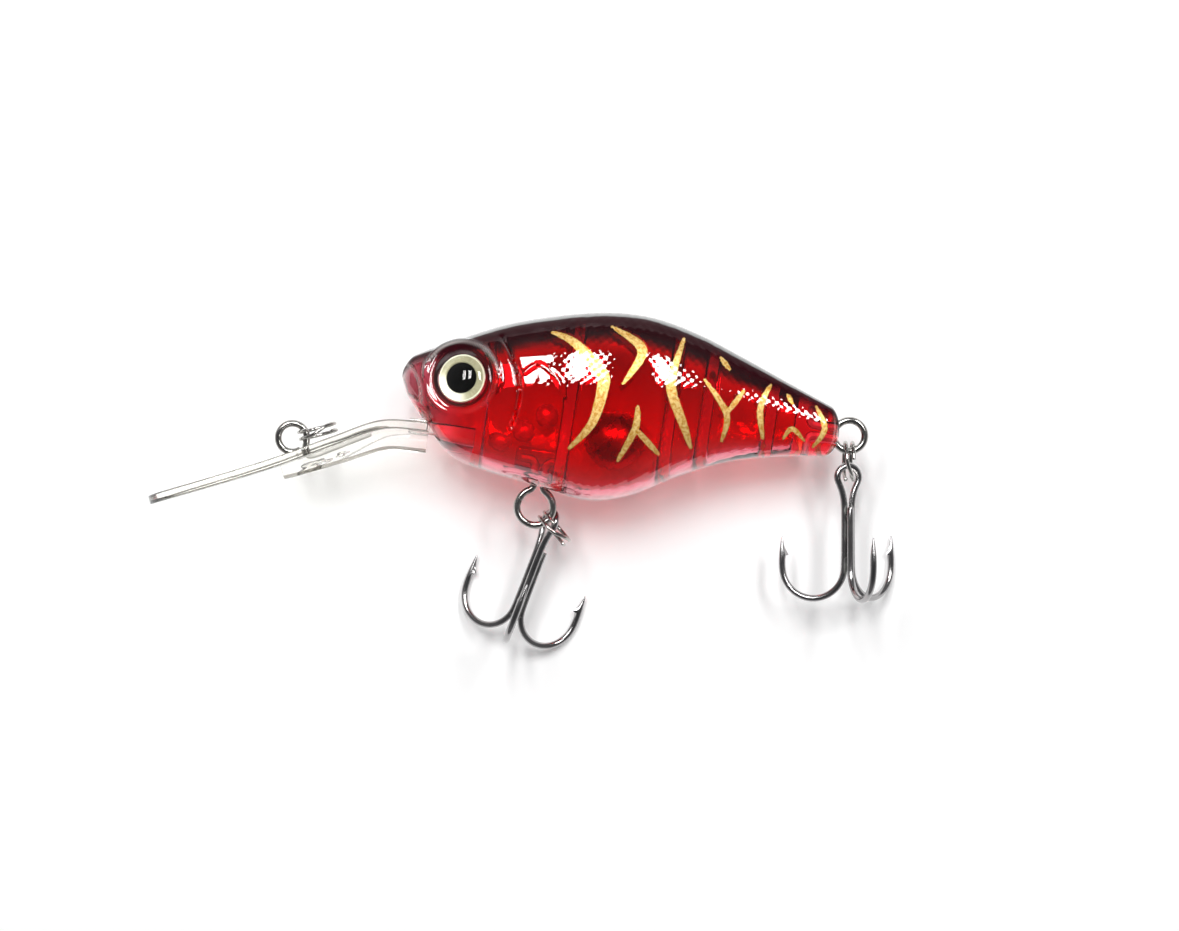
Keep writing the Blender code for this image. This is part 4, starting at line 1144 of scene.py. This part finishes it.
def eye_resin():
    m = finish("eye_resin")
    haze = m.noise(300, 2.0)
    glass = m.principled(Base_Color=(0.99, 0.99, 0.98, 1), Roughness=haze * 0.02 + 0.005, IOR=1.5,
                         Transmission_Weight=1.0)
    clear = m.clear_for_lamps(glass, (0.97, 0.97, 0.96, 1))
    return m.output(m.mix(m.attribute("glued_face"), clear, m.open_way()))


def ball_steel(name, dark, light, metallic):
    m = finish(name)
    spots = m.noise(800, 4.0)
    colour = m.blend(spots, (dark, dark, dark * 0.98, 1), (light, light, light * 0.97, 1))
    return m.output(m.principled(Base_Color=colour, Metallic=metallic, Roughness=spots * 0.15 + 0.2))


def table_top():
    m = finish("table_top")
    grain = m.noise(900, 3.0)
    colour = m.blend(grain, (0.86, 0.86, 0.86, 1), (0.90, 0.90, 0.895, 1))
    top = m.principled(Base_Color=colour, Roughness=0.55, Specular_IOR_Level=0.2)
    strength = m.ray("Camera") * TABLE_GLOW
    for kind in ("Glossy", "Transmission"):
        strength = strength.math("MAXIMUM", m.ray(kind) * TABLE_GLOW_MIRRORED)
    glow = m.add("ShaderNodeEmission", {}, {"Color": (1, 1, 1, 1), "Strength": strength})
    return m.output(m.add("ShaderNodeAddShader", {}, {0: top, 1: glow}))


# Table, light and camera

def make_table():
    """A white table just under the lowest point of the lure."""
    bpy.ops.object.select_all(action="DESELECT")
    bpy.ops.mesh.primitive_plane_add(size=TABLE_SIZE, location=(0, 0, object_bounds()[0][2] - TABLE_GAP))
    table = bpy.context.object
    table.name = "table"
    table.data.materials.append(table_top())


def frame_axes():
    """The photograph's right and up, lying on the table."""
    turn = Matrix.Rotation(CAMERA_ROLL, 3, "Z")
    return turn @ Vector((1, 0, 0)), turn @ Vector((0, 1, 0))


def make_windows():
    """Lamps for the window's panes, each turned to face the lure."""
    right, up = frame_axes()
    across, tall = (2 * PANE_DISTANCE * tan(size / 2) for size in (PANE_WIDTH, PANE_HEIGHT))
    for k, share in enumerate(PANES_RIGHT):
        way = (right * share + up * PANES_UP + Vector((0, 0, 1))).normalized()
        lamp = bpy.data.lights.new(f"window_{k + 1}", "AREA")
        lamp.shape, lamp.size, lamp.size_y = "RECTANGLE", across, tall
        lamp.energy = PANE_RADIANCE * pi * across * tall
        pane = bpy.data.objects.new(lamp.name, lamp)
        bpy.context.scene.collection.objects.link(pane)
        side = up.cross(way).normalized()
        turn = Matrix((side, way.cross(side), way)).transposed().to_4x4()
        pane.matrix_world = Matrix.Translation(aim_point() + way * PANE_DISTANCE) @ turn


def make_world():
    """A dim room round the lit table."""
    world = bpy.data.worlds.new("room")
    bpy.context.scene.world = world
    w = Finish(world)
    height = w.add("ShaderNodeSeparateXYZ", {}, {0: w.add("ShaderNodeTexCoord", out="Generated")}, out="Z")
    stops = [(0.0, (0.12, 0.12, 0.12, 1)), (0.3, (0.24, 0.24, 0.245, 1)), (0.7, (0.10, 0.10, 0.105, 1)),
             (1.0, (0.05, 0.05, 0.052, 1))]
    sky = w.add("ShaderNodeValToRGB", {"stops": stops}, {0: height})
    w.add("ShaderNodeOutputWorld", {}, {"Surface": w.add("ShaderNodeBackground", {}, {"Color": sky})})


def aim_point():
    return ZERO + Vector((*CAMERA_AIM, 0))


def make_camera():
    """Straight above the lure, turned as the photograph is."""
    data = bpy.data.cameras.new("camera")
    frame_width = FRAME_WIDTH / FRAME_PIXELS_PER_MM * MM
    data.sensor_width = SENSOR_WIDTH
    data.lens = SENSOR_WIDTH * CAMERA_DISTANCE / frame_width
    data.clip_start = NEAR_CLIP
    camera = bpy.data.objects.new("camera", data)
    bpy.context.scene.collection.objects.link(camera)
    camera.location = aim_point() + Vector((0, 0, CAMERA_DISTANCE))
    camera.rotation_euler = (0, 0, CAMERA_ROLL)
    bpy.context.scene.camera = camera


def build():
    red, steel, nickel = clear_red_body(), wire_steel(), black_nickel()
    foil, resin = eye_foil(), eye_resin()
    for side_name, side in (("left", 1), ("right", -1)):
        make_half(side_name, side, red)
        make_eye_disc(side_name, eye_place(side), foil)
        make_eye_lens(side_name, eye_place(side), resin)
    make_lip(clear_lip())
    make_wires(steel)
    make_hooks(nickel)
    make_balls(ball_steel("ball_steel", 0.58, 0.74, 0.8), ball_steel("plated_shot", 0.80, 0.92, 0.35))
    make_table()
    make_windows()
    make_world()
    make_camera()
    scene = bpy.context.scene
    scene.view_settings.view_transform = "Standard"
    scene.cycles.transparent_max_bounces = 32


build()
